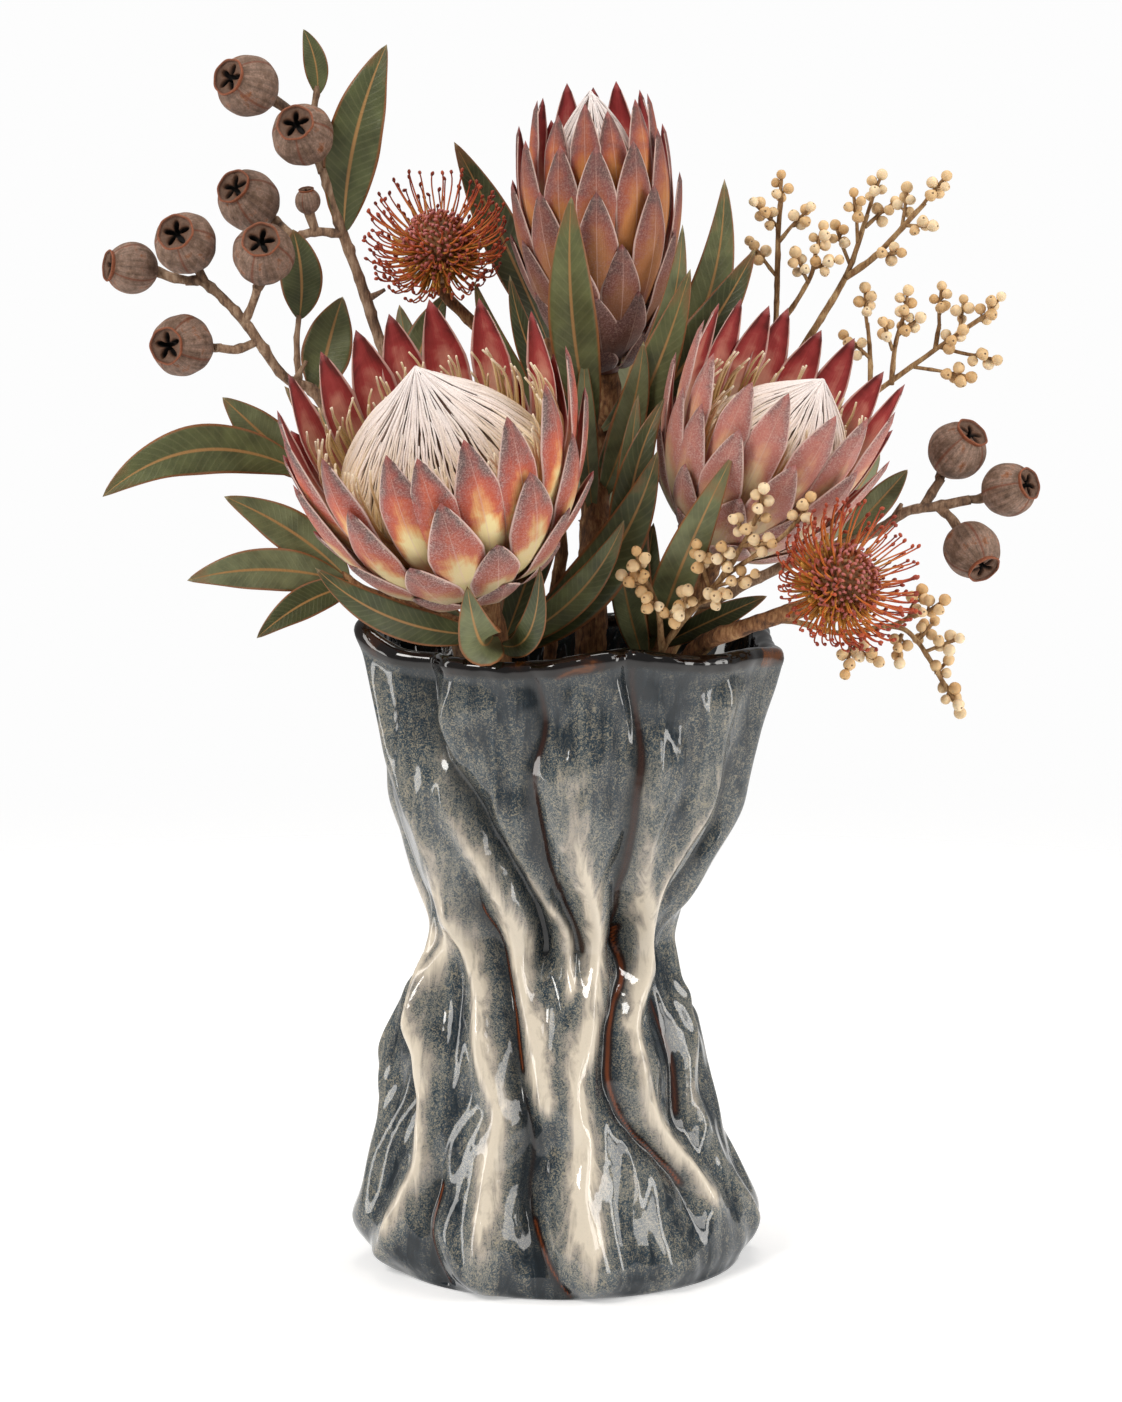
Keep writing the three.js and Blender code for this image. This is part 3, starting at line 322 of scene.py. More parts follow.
# %% [markdown]
# ## Glazed stoneware
# The vase is stoneware with a reactive glaze. Where the glaze runs thin over a ridge it breaks to
# cream, where it pools it goes slate blue, and over a sharp edge iron shows through as brown. The
# glaze is glass, so it has glass's IOR and a very low roughness, and a faint ripple in its surface
# bends the reflections. The mottled net in it is a noise with hair-fine threads about a
# millimetre apart.

# %% Material: glazed stoneware
def glazed_stoneware():
    p = Paint("glazed_stoneware")
    cream, crease, brown = p.grow
    lip, inside_shade = p.birth[:2]
    cloud = p.noise(24, 4, distortion=0.6)
    streak = p.noise(5, 5, p.stretch(p.spot, 1.0, 1.0, 0.16), 0.62, 0.8)
    patch = p.ramp(cloud, 0.3, 0.7, -0.15, 0.15)
    drip = p.ramp(streak, 0.3, 0.7, -0.2, 0.2)
    amount = p.plus(p.plus(cream, patch), drip)
    glaze = p.band(
        amount, (0.0, "#10191f"), (0.2, "#232f38"), (0.4, "#3e4a51"), (0.58, "#686b69"),
        (0.76, "#9d958b"), (0.92, "#c0b5a4"), (1.0, "#cfc4b2"),
    )
    # The net: hair-fine tan threads with dark teal between them, where the glaze is half thin.
    net = p.noise(1.5, 3, roughness=0.65, distortion=2.4)
    netted = p.times(p.ramp(amount, 0.06, 0.3), p.ramp(amount, 0.62, 0.88, 1.0, 0.1))
    tan = p.times(p.ramp(net, 0.5, 0.59, 0.0, 0.52), netted)
    teal = p.times(p.ramp(net, 0.48, 0.37, 0.0, 0.7), netted)
    glaze = p.mix(teal, p.mix(tan, glaze, "#a99c82"), "#182630")
    pooled = p.mix(crease, glaze, "#12181c")
    tea = p.band(brown, (0.3, "#170a05"), (0.62, "#34170a"), (0.85, "#7a3b18"))
    iron = p.mix(p.ramp(brown, 0.12, 0.4, 0.0, 0.9), pooled, tea)
    # Painted shade: under the rolled lip the glaze darkens towards dark slate.
    shade_under_lip = p.mix(p.ramp(lip, 0.3, 0.8, 0.0, 0.5), iron, "#252b2f")
    amber = p.band(
        cloud, (0.46, "#090504"), (0.57, "#120805"), (0.62, "#2f1708"), (0.66, "#633612"), (0.72, "#120805"),
    )
    edge = p.ramp(p.times(cloud, 0.2, lip), 0.9, 0.98)
    # Painted shade: inside the mouth the glaze goes near-black within a few millimetres of the lip.
    whole = p.mix(inside_shade, p.mix(edge, shade_under_lip, amber), "#0c0f11")
    return p.finish(whole, 0.06, p.bump(p.noise(11, 2), 1.1, 0.35), ior=1.52)


STONEWARE = glazed_stoneware()
print("material:", STONEWARE.name)

# %% [markdown]
# ## The vase
# A potter threw a plain hourglass and pulled its wet wall into hanging folds. It could be
# sculpted, but folds that run where the photograph shows them are easier to state: each is a line
# of heights and bearings round the wall (0 is the front, + is to the right), and the wall swells
# along it. Creases are the same with the sign turned. The same lines say where glaze runs thin,
# pools, or shows its iron, so colour and shape always agree.

# %% Vase: half widths, folds and creases
VASE_HEIGHT = 248.0
VASE_FLOOR = 9.0
FOOT_INSET = 4.0
VASE_HALF = [
    (0, 75), (8, 80), (21, 79), (38, 73), (54, 67), (71, 64), (87, 62), (104, 56), (120, 50),
    (133, 46), (141, 50), (153, 57), (165, 63), (185, 71), (206, 75), (226, 78), (248, 82),
]
VASE_DRIFT = [(0, 1), (21, -2), (54, -5), (87, -6), (133, -4), (165, 0), (206, 2), (248, 5)]
VASE_DEPTH = [(0, 0.97), (133, 0.92), (248, 0.87)]

# Each ridge is its line of (height, bearing), how far it stands out, how wide it is in degrees,
# and how much cream the glaze breaks to on it.
RIDGES = [
    ([(248, -74), (218, -62), (173, -53), (145, -47), (120, -58), (104, -61)], 8.5, 11, 0.8),
    ([(225, -38), (194, -37), (161, -28), (145, -20), (120, -10), (95, -2), (78, -2)], 7, 8, 0.95),
    ([(185, -20), (174, -16), (156, -9), (139, 6), (120, 10)], 4, 5, 0.9),
    ([(205, 0), (160, 10), (133, 19), (104, 17), (71, 10), (42, 9), (8, 11)], 8, 8, 1.0),
    ([(205, 25), (165, 31), (133, 48), (104, 36), (75, 39), (50, 50), (36, 55)], 7, 7, 0.95),
    ([(228, 53), (184, 49), (160, 41), (143, 46), (126, 50)], 5, 7, 0.8),
    ([(240, 78), (214, 76), (186, 74), (165, 64), (150, 68)], 6, 10, 0.35),
    ([(133, -66), (104, -61), (71, -49), (46, -46), (21, -58), (8, -64)], 7, 7, 0.95),
    ([(140, -42), (120, -32), (104, -27), (71, -19), (42, -18), (21, -20), (5, -24)], 8, 7, 0.95),
    ([(133, 84), (115, 86), (104, 76), (87, 68), (70, 64), (48, 72), (20, 78)], 6, 8, 0.45),
    ([(110, -84), (87, -90), (60, -76), (20, -80)], 8, 11, 0.4),
    ([(95, 95), (60, 84), (20, 94)], 6, 12, 0.3),
    ([(24, -36), (10, -32)], 4, 10, 0.35),
    ([(44, 26), (22, 30), (8, 34)], 3, 9, 0.45),
]
# A crease is its line, how deep, how wide in degrees, and how much iron shows along it.
CREASES = [
    ([(252, -52), (238, -49), (210, -38), (186, -26), (161, -16), (133, -4)], 9, 5.5, 0.15),
    ([(250, -13), (206, -10), (173, -6), (153, 0), (133, 13)], 4.5, 4, 0.55),
    ([(250, 18), (218, 19), (186, 22), (157, 25), (140, 33)], 4.5, 4, 0.6),
    ([(140, 34), (126, 38), (104, 26), (83, 25), (66, 30), (48, 42), (40, 46)], 5, 5, 0.95),
    ([(112, -74), (104, -72), (87, -62), (67, -56)], 4, 5, 0.95),
    ([(150, -36), (132, -24), (108, -14), (88, -10)], 5, 5, 0.9),
    ([(40, -40), (17, -42), (4, -42)], 4, 5, 0.85),
    ([(30, -6), (12, -3), (2, 2)], 4, 5, 0.85),
    ([(78, -10), (48, -8), (28, -6)], 4, 6, 0.35),
    ([(108, 54), (99, 57), (84, 58), (66, 56)], 4, 5, 0.7),
    ([(200, 62), (176, 60), (158, 54)], 3, 4, 0.1),
]
BACK_FOLDS = 7  # evenly spaced round the hidden half, swaying as they fall
for number in range(BACK_FOLDS):
    bearing = 112 + 136 * number / (BACK_FOLDS - 1)
    line = [(h, bearing + 9 * math.sin(h / 38 + number * 1.7)) for h in (240, 190, 150, 110, 70, 20)]
    beside = [(h, b + 10) for h, b in line[1:]]
    RIDGES.append((line, 7, 9, 0.85))
    CREASES.append((beside, 3, 4, 0.4 + 0.5 * (number % 2)))


def eased(pairs, height, reach=8):
    """Straight lines between (height, value) pairs, rounded off at their corners."""
    steps = np.arange(-30, 290)
    places, values = zip(*sorted(pairs))
    weights = np.hanning(2 * reach + 3)[1:-1]
    plain = np.pad(np.interp(steps, places, values), reach, mode="edge")
    return np.interp(height, steps, np.convolve(plain, weights / weights.sum(), "valid"))


def along_line(line, wide, bearing, height, sharp=2.0, fade=13.0):
    """1 on a line and 0 away from it."""
    heights = [h for h, _ in line]
    off = (bearing - eased(line, height) + 540) % 360 - 180
    past = np.maximum(np.maximum(min(heights) - height, height - max(heights)), 0)
    return np.exp(-np.abs(off / wide) ** sharp - (past / fade) ** 2)


FOLD_DEPTH = 3.5  # how far the wall lies inside its half widths between two ridges


def pulled_wall(bearing, height):
    """How far the wall stands out, and how much cream, pooled glaze and iron it shows."""
    sway = 1.8 * np.sin(height / 13 + np.radians(bearing) * 3)
    bearing = bearing + (sway + 0.7 * np.sin(height / 6.5 + bearing / 9))
    out = np.full(bearing.shape, -FOLD_DEPTH)
    cream, crease, brown = np.zeros((3, *bearing.shape))
    for line, high, wide, pale in RIDGES:
        out += high * along_line(line, wide, bearing, height, 1.55)
        cream = np.maximum(cream, pale * along_line(line, 0.95 * wide, bearing, height, 1.35, 9.0))
    for line, deep, wide, iron in CREASES:
        near = along_line(line, wide, bearing, height, 1.5)
        out -= deep * near
        crease = np.maximum(crease, 0.8 * along_line(line, wide * 0.65, bearing, height, 2.0, 6.0))
        brown = np.maximum(brown, iron * along_line(line, 1.1, bearing - 1.4, height, 2.0, 2.0))
    lumps = np.sin(height / 9.5 + bearing / 11) * np.sin(bearing / 7 - height / 14)
    out += 0.9 * lumps * np.clip((175 - height) / 60, 0, 1)
    out += 0.5 * np.sin((bearing + 6 * np.sin(height / 19)) / 1.7) * np.sin(height / 23 - bearing / 9)
    upper = np.clip((height - 150) / 45, 0, 1)
    cream = cream * (1 - 0.6 * upper) + 0.13 + 0.09 * upper
    cream *= np.clip(height / 26, 0.2, 1) ** 0.7
    return out, cream, crease, brown


def lip_height(bearing):
    corner = (bearing + 80 + 540) % 360 - 180
    wave = 2 * np.sin(np.radians(bearing * 3 + 40)) + 1.2 * np.sin(np.radians(bearing * 7))
    return VASE_HEIGHT + wave + 8 * np.exp(-((corner / 18) ** 2))


# %% [markdown]
# The wall is swept as one closed skin: up the outside, over a rounded lip and down the inside to
# the floor. The lip's wave is mixed in only near the top, so the folds below keep their heights.

# %% Vase: one closed skin
VASE_COLUMNS = 460
OUTER_STEPS = 215
INNER_STEPS = 40
LIP_STEPS = 11
LIP_WALL = 5.5
CAVITY_INSET = 10.0
LIP_BEAD = 2.2  # how far the rolled lip stands proud of the wall below it
LIP_ROLL = 4.2  # how far from the top the roll begins
LIP_RISE = 3.4
FOOT_ROUND = 9  # how high the foot's rounding goes
LIP_SHADE_START = 226  # where the painted shade under the lip begins


def vase_rings():
    bearing = np.arange(VASE_COLUMNS) * 360 / VASE_COLUMNS
    turn = np.radians(bearing)
    rings, marks, births = [], [], []

    def wall(height):
        return pulled_wall(bearing, np.full(VASE_COLUMNS, height))

    def ring(height, radius, cream, crease, brown, lip, inside_shade):
        drift = eased(VASE_DRIFT, height)
        depth = eased(VASE_DEPTH, height)
        lifted = height + (lip_height(bearing) - VASE_HEIGHT) * np.clip(height / VASE_HEIGHT, 0, 2) ** 6
        points = [drift + radius * np.sin(turn), -radius * depth * np.cos(turn), lifted]
        rings.append(np.stack(np.broadcast_arrays(*points), -1))
        marks.append(np.stack([cream, crease, brown], -1))
        births.append(np.stack(np.broadcast_arrays(bearing * 0 + lip, inside_shade, 0.0), -1))

    foot = eased(VASE_HALF, 0.0) - FOOT_INSET
    for step in range(OUTER_STEPS):
        height = VASE_HEIGHT * step / (OUTER_STEPS - 1)
        out, cream, crease, brown = wall(height)
        bead = LIP_BEAD * math.exp(-(((VASE_HEIGHT - height) / LIP_ROLL) ** 2))
        full = eased(VASE_HALF, height) + out + bead
        rounded = math.sqrt(1 - (1 - np.clip(height / FOOT_ROUND, 0, 1)) ** 2)
        ring(height, foot + (full - foot) * rounded, cream, crease, brown,
             np.clip((height - LIP_SHADE_START) / (VASE_HEIGHT - LIP_SHADE_START), 0, 1), 0.0)
    lip_out = eased(VASE_HALF, VASE_HEIGHT) + wall(VASE_HEIGHT)[0] + LIP_BEAD
    for step in range(1, LIP_STEPS + 1):
        over = math.pi * step / LIP_STEPS
        radius = lip_out - (LIP_WALL + LIP_BEAD) / 2 * (1 - math.cos(over))
        ring(VASE_HEIGHT + LIP_RISE * math.sin(over), radius, cream, crease, brown * 0, 1.0, 0.0)
    for step in range(1, INNER_STEPS + 1):
        height = VASE_HEIGHT + (VASE_FLOOR - VASE_HEIGHT) * step / INNER_STEPS
        follow = np.clip((height - 150) / (VASE_HEIGHT - 150), 0, 1) ** 2
        half = eased(VASE_HALF, height)
        radius = (half - CAVITY_INSET) * (1 - follow) + (half + wall(height)[0] - LIP_WALL) * follow
        ring(height, radius, cream * 0, crease * 0, brown * 0, np.clip((height - 236) / 12, 0, 1),
             np.clip((VASE_HEIGHT - height) / 8, 0, 1))
    return np.array(rings), np.array(marks), np.array(births)


def build_vase():
    rings, marks, births = vase_rings()
    skin = Skin()
    skin.cover(rings, marks, root=(0, 0, 0), tip=(0, 0, VASE_FLOOR))
    skin.birth = [np.vstack([births.reshape(-1, 3), [0, 0, 0], [0, 1, 0]])]
    make_piece("stoneware_vase", skin, STONEWARE, ["vase"])


build_vase()

# %% [markdown]
# ## Leaves
# Protea and gum leaves are leathery lances with a wax bloom. A thin brown margin and a tan midrib
# stand out against the green, and fine side veins leave the rib at a slant. Some leaves have dried
# at their tips. The veins are stripes that slant with the distance from the rib, the margin is
# where the blade's width ends, and each leaf draws its own green from what it remembers of its
# birth.

# %% Material: waxy leaf
def waxy_leaf():
    p = Paint("waxy_leaf")
    run, wide, under = p.grow
    edge = p.math("ABSOLUTE", wide)
    cloud = p.noise(9, 4)
    green = p.band(p.birth[0], (0.0, "#3b4126"), (0.35, "#4d5230"), (0.7, "#5c603a"), (1.0, "#6c7050"))
    top = p.mix(1.0, green, p.ramp(cloud, 0.3, 0.7, 0.64, 1.3), "MULTIPLY")
    face = p.mix(under, top, "#787c5c")
    stripe = p.math("SINE", p.times(p.times(edge, -0.1, run), 150.0))
    vein = p.ramp(stripe, 0.5, 1.0, 0.0, 0.13)
    rib = p.ramp(edge, 0.035, 0.085, 0.9, 0.0)
    ribbed = p.mix(rib, p.mix(vein, face, "#8c8a62"), "#a87d4a")
    dry = p.times(edge, 0.12, p.times(cloud, 0.55, run))
    dried = p.mix(p.ramp(dry, 1.2, 1.42, 0.0, 0.85), ribbed, "#7c4f30")
    whole = p.mix(p.ramp(edge, 0.87, 0.95, 0.0, 0.9), dried, "#8f5730")
    return p.finish(whole, 0.46, p.bump(p.times(vein, 2.2, p.noise(0.9, 3)), 0.22, 0.6))


LEAF = waxy_leaf()
print("material:", LEAF.name)

# %% [markdown]
# A leaf follows a curve from its stalk to its tip. Across it, the blade folds up a little from the
# rib, its margin ripples, and the rib is a groove on top and a cord below. A plane with a texture
# would look the same from the front only, so each leaf is a closed blade with two faces.

# %% Leaf blades
LEAF_FOLD = 0.16
LEAF_THICK = 0.55
LEAF_FACE = (0, -1, 0.25)
LEAF_ROWS = 30
LEAF_COLUMNS = 11


def leaf(skin, draw, start, end, wide, bow=(0, 0, 0), face=LEAF_FACE):
    root, tip = np.array(start, float), np.array(end, float)
    t = np.linspace(0, 1, LEAF_ROWS + 2)[1:-1]
    centre, way = bezier(root, (root + tip) / 2 + 2 * np.array(bow, float), tip, t)
    side = np.cross(way, face)
    side /= np.linalg.norm(side, axis=1, keepdims=True)
    normal = np.cross(side, way)
    half = wide / 2 * np.sin(np.pi * t**0.9) ** 0.8
    half = np.maximum(half, 0.8 * np.clip(1 - t / 0.25, 0, 1))
    s = np.linspace(-1, 1, LEAF_COLUMNS)
    phase, beat, lean = draw.uniform(0, 6), draw.uniform(2.2, 3.6), draw.uniform(-0.06, 0.06)
    ripple = np.sin(2 * np.pi * beat * t + phase)[:, None] * np.sign(s) * np.abs(s) ** 2.4 * 0.09
    fold = LEAF_FOLD * (np.sqrt(s**2 + 0.012) - 0.1)
    lift = (fold + ripple + lean * s) * half[:, None]
    rib = np.exp(-((s / 0.1) ** 2)) * np.clip(half / 6, 0.2, 1)[:, None]
    thick = LEAF_THICK * (1 - 0.45 * s**2) / 2
    flat = centre[:, None] + side[:, None] * (half[:, None] * s)[..., None]
    top, under = lift + thick - 0.22 * rib, lift - thick - 0.45 * rib
    skin.blade(flat, normal, top, under, t, draw.uniform(), root, tip)


# %% [markdown]
# ## Bark
# The stems are one to three year old wood. Their bark is tan to umber, furrowed lengthwise, with
# swellings where leaves have dropped. The furrows are a noise stretched upright in the scene, which
# runs along the stems where they stand upright.

# %% Material: twig bark
def twig_bark(name, dark, middle, light):
    p = Paint(name)
    furrow = p.noise(1.6, 5, p.stretch(p.spot, 1.0, 1.0, 0.22), 0.7)
    both = p.times(p.noise(7, 4, distortion=0.5), 0.6, furrow)
    return p.finish(p.band(both, (0.62, dark), (0.8, middle), (1.0, light)), 0.82, p.bump(furrow, 0.9, 0.8))


PROTEA_BARK = twig_bark("protea_stem_bark", "#4a2f1c", "#7f5534", "#a98258")
GUM_BARK = twig_bark("gum_twig_bark", "#574336", "#876a52", "#ae937a")
BERRY_BARK = twig_bark("berry_twig_bark", "#6b4c2c", "#93704a", "#b8996d")
print("materials:", PROTEA_BARK.name, GUM_BARK.name, BERRY_BARK.name)

# %% [markdown]
# Each limb runs on a smooth curve through listed points. A plain tube looks like wire, so its
# skin is roughened by slow lumps and by knots at uneven distances.

# %% Limbs
WAIST = 133
FLOOR_SPREAD = 1.4
SEAT_GAP = 0.3


def footing(x, y):
    """Where a stem stands on the vase's floor, and where it passes the waist."""
    return [(x * FLOOR_SPREAD, y * FLOOR_SPREAD, VASE_FLOOR + SEAT_GAP), (x, y, WAIST)]


def limb(skin, draw, path, radii, knots=0.0, sides=12):
    """A woody limb. knots is how far its knots stand out, as a share of its radius."""
    curve = smooth(path, 10)
    run = run_along(curve)
    count = max(int(run[-1] / 1.6), 4)
    even = np.linspace(0, run[-1], count)
    curve = np.stack([np.interp(even, run, curve[:, i]) for i in range(3)], -1)
    radius = np.interp(even, [0, run[-1]], radii)
    turn = 2 * np.pi * np.arange(sides) / sides
    lumps = 0.05 * np.sin(even[:, None] / 5.3 + 2 * turn + draw.uniform(0, 6))
    lumps += 0.04 * np.sin(even[:, None] / 2.1 - 3 * turn)
    place = draw.uniform(2, 8)
    while place < run[-1] and knots:
        facing = 0.55 + 0.45 * np.cos(turn - draw.uniform(0, 6.3))
        lumps += knots * draw.uniform(0.5, 1.2) * np.exp(-((even[:, None] - place) / 1.5) ** 2) * facing
        place += draw.uniform(6, 13)
    skin.tube(curve, radius, sides, draw.uniform(), lumps=lumps)


# %% [markdown]
# ## Bracts
# What looks like a protea's petals are bracts, stiff and overlapping like roof shingles. Inside
# they go from cream through pink to crimson. Outside they are cream at the foot, then orange-red,
# under a silver down that is thickest at the margins, the tip and on the lowest rows. The down is
# painted as a pale veil and as sheen, because single hairs are far finer than a pixel.

# %% Material: downy bract
INNER_FACE = [
    (0.0, "#dcc088"), (0.5, "#dab096"), (0.68, "#c57c6c"), (0.82, "#a03636"), (0.94, "#7e1f20"),
    (1.0, "#5c1412"),
]


def downy_bract(name, down, low_row_shade, dark_tip, *outer):
    p = Paint(name)
    run, wide, inside = p.grow
    chance, low = p.birth[:2]
    edge = p.math("ABSOLUTE", wide)
    cloud = p.noise(9, 4, distortion=0.6)
    lengthwise = p.add("CombineXYZ", {0: p.times(wide, 8.0), 1: run, 2: p.times(chance, 40.0)})
    fibre = p.noise(1, 5, lengthwise, 0.65, whole=2.4)
    place = p.times(fibre, 0.14, p.plus(run, p.ramp(cloud, 0.3, 0.7, -0.07, 0.07)))
    place = p.math("SUBTRACT", place, 0.07)
    deep = p.plus(place, p.ramp(edge, 0.2, 0.9, -0.06, 0.12))
    # Painted shade: the lower rows darken to a dark mauve-brown, a little at their foot and most from a
    # third of the way up, the lowest rows most.
    shaded = p.times(low, p.ramp(run, 0.1, 0.4, 0.3, low_row_shade))
    outside = p.mix(shaded, p.band(deep, *outer), "#533330")
    # The down: at the margins, at the tip, on the lowest rows and in clouds, broken up by hairs.
    fine = p.noise(0.7, 3, roughness=0.8)
    rim, tuft = p.ramp(edge, 0.64, 0.96, 0.0, 0.5), p.ramp(run, 0.62, 0.95, 0.0, 0.45)
    frost = p.times(low, 0.38, p.ramp(cloud, 0.48, 0.66, 0.0, 0.3))
    hairs = p.ramp(fine, 0.44, 0.64, 0.1, 1.0)
    veiled = p.times(p.plus(p.plus(rim, tuft), frost), hairs, use_clamp=True)
    grown = p.ramp(run, 0.36, 0.52)
    outside = p.mix(p.times(veiled, grown), outside, down)
    point = p.times(p.ramp(place, 0.8, 0.98, 0.0, dark_tip), p.ramp(fine, 0.4, 0.62, 0.95, 0.5))
    outside = p.mix(point, outside, "#463c3b")
    outside = p.mix(p.times(p.ramp(edge, 0.012, 0.04, 0.4, 0.0), grown), outside, "#cba79a")
    outside = p.mix(p.ramp(edge, 0.91, 0.97, 0.0, 0.8), outside, "#dcc0b4")
    within = p.mix(p.ramp(edge, 0.86, 0.93, 0.0, 0.85), p.band(deep, *INNER_FACE), "#d6aaa0")
    return p.finish(
        p.mix(inside, outside, within), 0.6, p.bump(p.times(fine, 0.6, fibre), 0.4, 0.5),
        Sheen_Weight=0.08, Sheen_Roughness=0.4, Sheen_Tint=colour("#f3e3e0"),
        Subsurface_Weight=0.1, Subsurface_Radius=(0.004, 0.0015, 0.001),
    )


RED_BRACT = downy_bract(
    "red_protea_bract", "#cfb2a8", 0.9, 0.65,
    (0.0, "#d8c688"), (0.57, "#e0cc94"), (0.64, "#d8985a"), (0.72, "#bb4e2a"), (0.86, "#9e3a2a"),
    (0.95, "#7c3c38"), (1.0, "#5c3c3a"),
)
PINK_BRACT = downy_bract(
    "dusty_pink_protea_bract", "#dac0b6", 0.55, 0.35,
    (0.0, "#dccb98"), (0.55, "#e2c99c"), (0.65, "#d49c78"), (0.75, "#bd7263"), (0.9, "#ac645b"),
    (1.0, "#8a5652"),
)
BUD_BRACT = downy_bract(
    "amber_bud_bract", "#a9857a", 0.9, 0.7,
    (0.0, "#6b4030"), (0.3, "#84482c"), (0.46, "#b8742c"), (0.66, "#c9803c"), (0.78, "#ad5632"),
    (0.9, "#8c3c34"), (1.0, "#5f342c"),
)
print("materials:", RED_BRACT.name, PINK_BRACT.name, BUD_BRACT.name)

# %% [markdown]
# Each bract is placed by its radius and height about the bloom's axis: it springs from the
# receptacle, bellies out through a middle point and ends at its tip. A row's turns are degrees round
# the axis, read off the photograph where they show: 0 is to the right and 90 to the front. Every
# bract is cupped, keeled down its back, and drawn a little longer or shorter than its neighbours,
# because identical ones read as cut paper.

# %% Blooms: sizes
LEFT_BLOOM = {
    "origin": (-32, -41, 276), "axis": unit((-0.22, -0.43, 0.87)),
    "receptacle": [(7.5, 0), (14.5, 7.5), (22.5, 19)],
    "rows": [  # root, middle, tip, half width, turns
        ((16, 14), (46.5, 46), (56, 97), 11,
         (4, 36, 59, 77, 94, 109, 135, 158, 183, 207, 227, 246, 261, 279, 301, 330)),
        ((14, 10.5), (44, 32), (59, 75), 11.5,
         (2, 29, 56, 92, 130, 160, 186, 204, 228, 252, 277, 303, 332)),
        ((11, 7.5), (35, 18), (56, 48), 11, (15, 41, 77, 110, 140, 172, 205, 235, 265, 295, 325)),
        ((8.5, 4.5), (25, 7.5), (42, 24), 10, (31, 75, 120, 165, 210, 255, 300, 345)),
        ((5.5, 2.3), (14, 2.3), (25, 10), 8, (20, 80, 140, 200, 260, 320)),
    ],
    "dome": [(21.5, 19.3), (35, 35), (40, 50), (38, 61.5), (27, 76.5), (13, 88.5), (0, 100.5)],
    "loose": [(31.5, 41), (42, 52), (46.5, 70), (45.5, 79)],
    "lean": (0, 0, 0),
    "strands": 480, "stray": 130,
}
RIGHT_BLOOM = {
    "origin": (61, -12, 288), "axis": unit((0.38, -0.33, 0.865)),
    "receptacle": [(6, 0), (11, 6), (17, 15)],
    "rows": [
        ((12.5, 11.5), (35, 42), (42, 88), 9.5,
         (23, 49, 70, 93, 116, 142, 172, 198, 222, 241, 256, 274, 295, 316, 338)),
        ((10.5, 8.2), (34, 28), (47, 68), 9.5, (8, 45, 78, 109, 131, 151, 182, 212, 245, 275, 305, 335)),
        ((8.2, 5.4), (27, 15), (44, 43), 9, (22, 60, 95, 128, 168, 209, 252, 290, 344)),
        ((6, 3.4), (18.5, 6), (34, 21), 8.5, (30, 80, 130, 185, 235, 285, 335)),
        ((4, 2.2), (11, 2.4), (21, 8), 6.5, (0, 72, 144, 216, 288)),
    ],
    "dome": [(14, 15.3), (23, 30), (28, 43), (26.5, 54), (19, 65), (9, 74), (0, 81)],
    "lean": (9, 1, -2),  # how far the dome's top stands off the axis
    "loose": [(19.5, 33), (30, 46), (33, 62), (32, 70)],
    "strands": 360, "stray": 90,
}
UPRIGHT_BLOOM = {
    "origin": (17, 15, 356), "axis": unit((-0.05, -0.2, 0.98)),
    "receptacle": [(6, 0), (9, 10), (11, 24)],
    "rows": [
        ((8.6, 20), (24, 65), (21.5, 110), 8.5, (10, 42, 70, 98, 128, 167, 205, 245, 270, 299, 335)),
        ((7.8, 16), (27.2, 55), (29, 98), 9.5, (25, 60, 90, 118, 150, 195, 235, 265, 295, 350)),
        ((6.9, 12.5), (27, 41), (34, 80), 9.5, (2, 49, 93, 128, 160, 195, 230, 262, 295, 330)),
        ((5.9, 9), (23, 27), (33.5, 59), 9, (20, 72, 108, 147, 180, 220, 255, 290, 335)),
        ((4.8, 6), (18, 14.5), (28.5, 38), 8.5, (8, 60, 92, 150, 205, 255, 305)),
        ((3.7, 3), (12.5, 5), (20.5, 18), 7.5, (25, 97, 169, 241, 313)),
    ],
    "dome": [(9, 24.3), (16, 50), (18, 77), (13, 94), (6, 105), (0, 112)],
    "lean": (0, 0, 0),
    "loose": None,
    "strands": 160, "stray": 0,
}
BRACT_SHARE = 0.86
BRACT_LENGTHWISE = 22
BRACT_ACROSS = 13


def about(bloom, out, radius, height):
    """A point at a radius and height about a bloom's axis."""
    radius = np.asarray(radius, float)[..., None]
    height = np.asarray(height, float)[..., None]
    return np.array(bloom["origin"]) + out * radius + bloom["axis"] * height


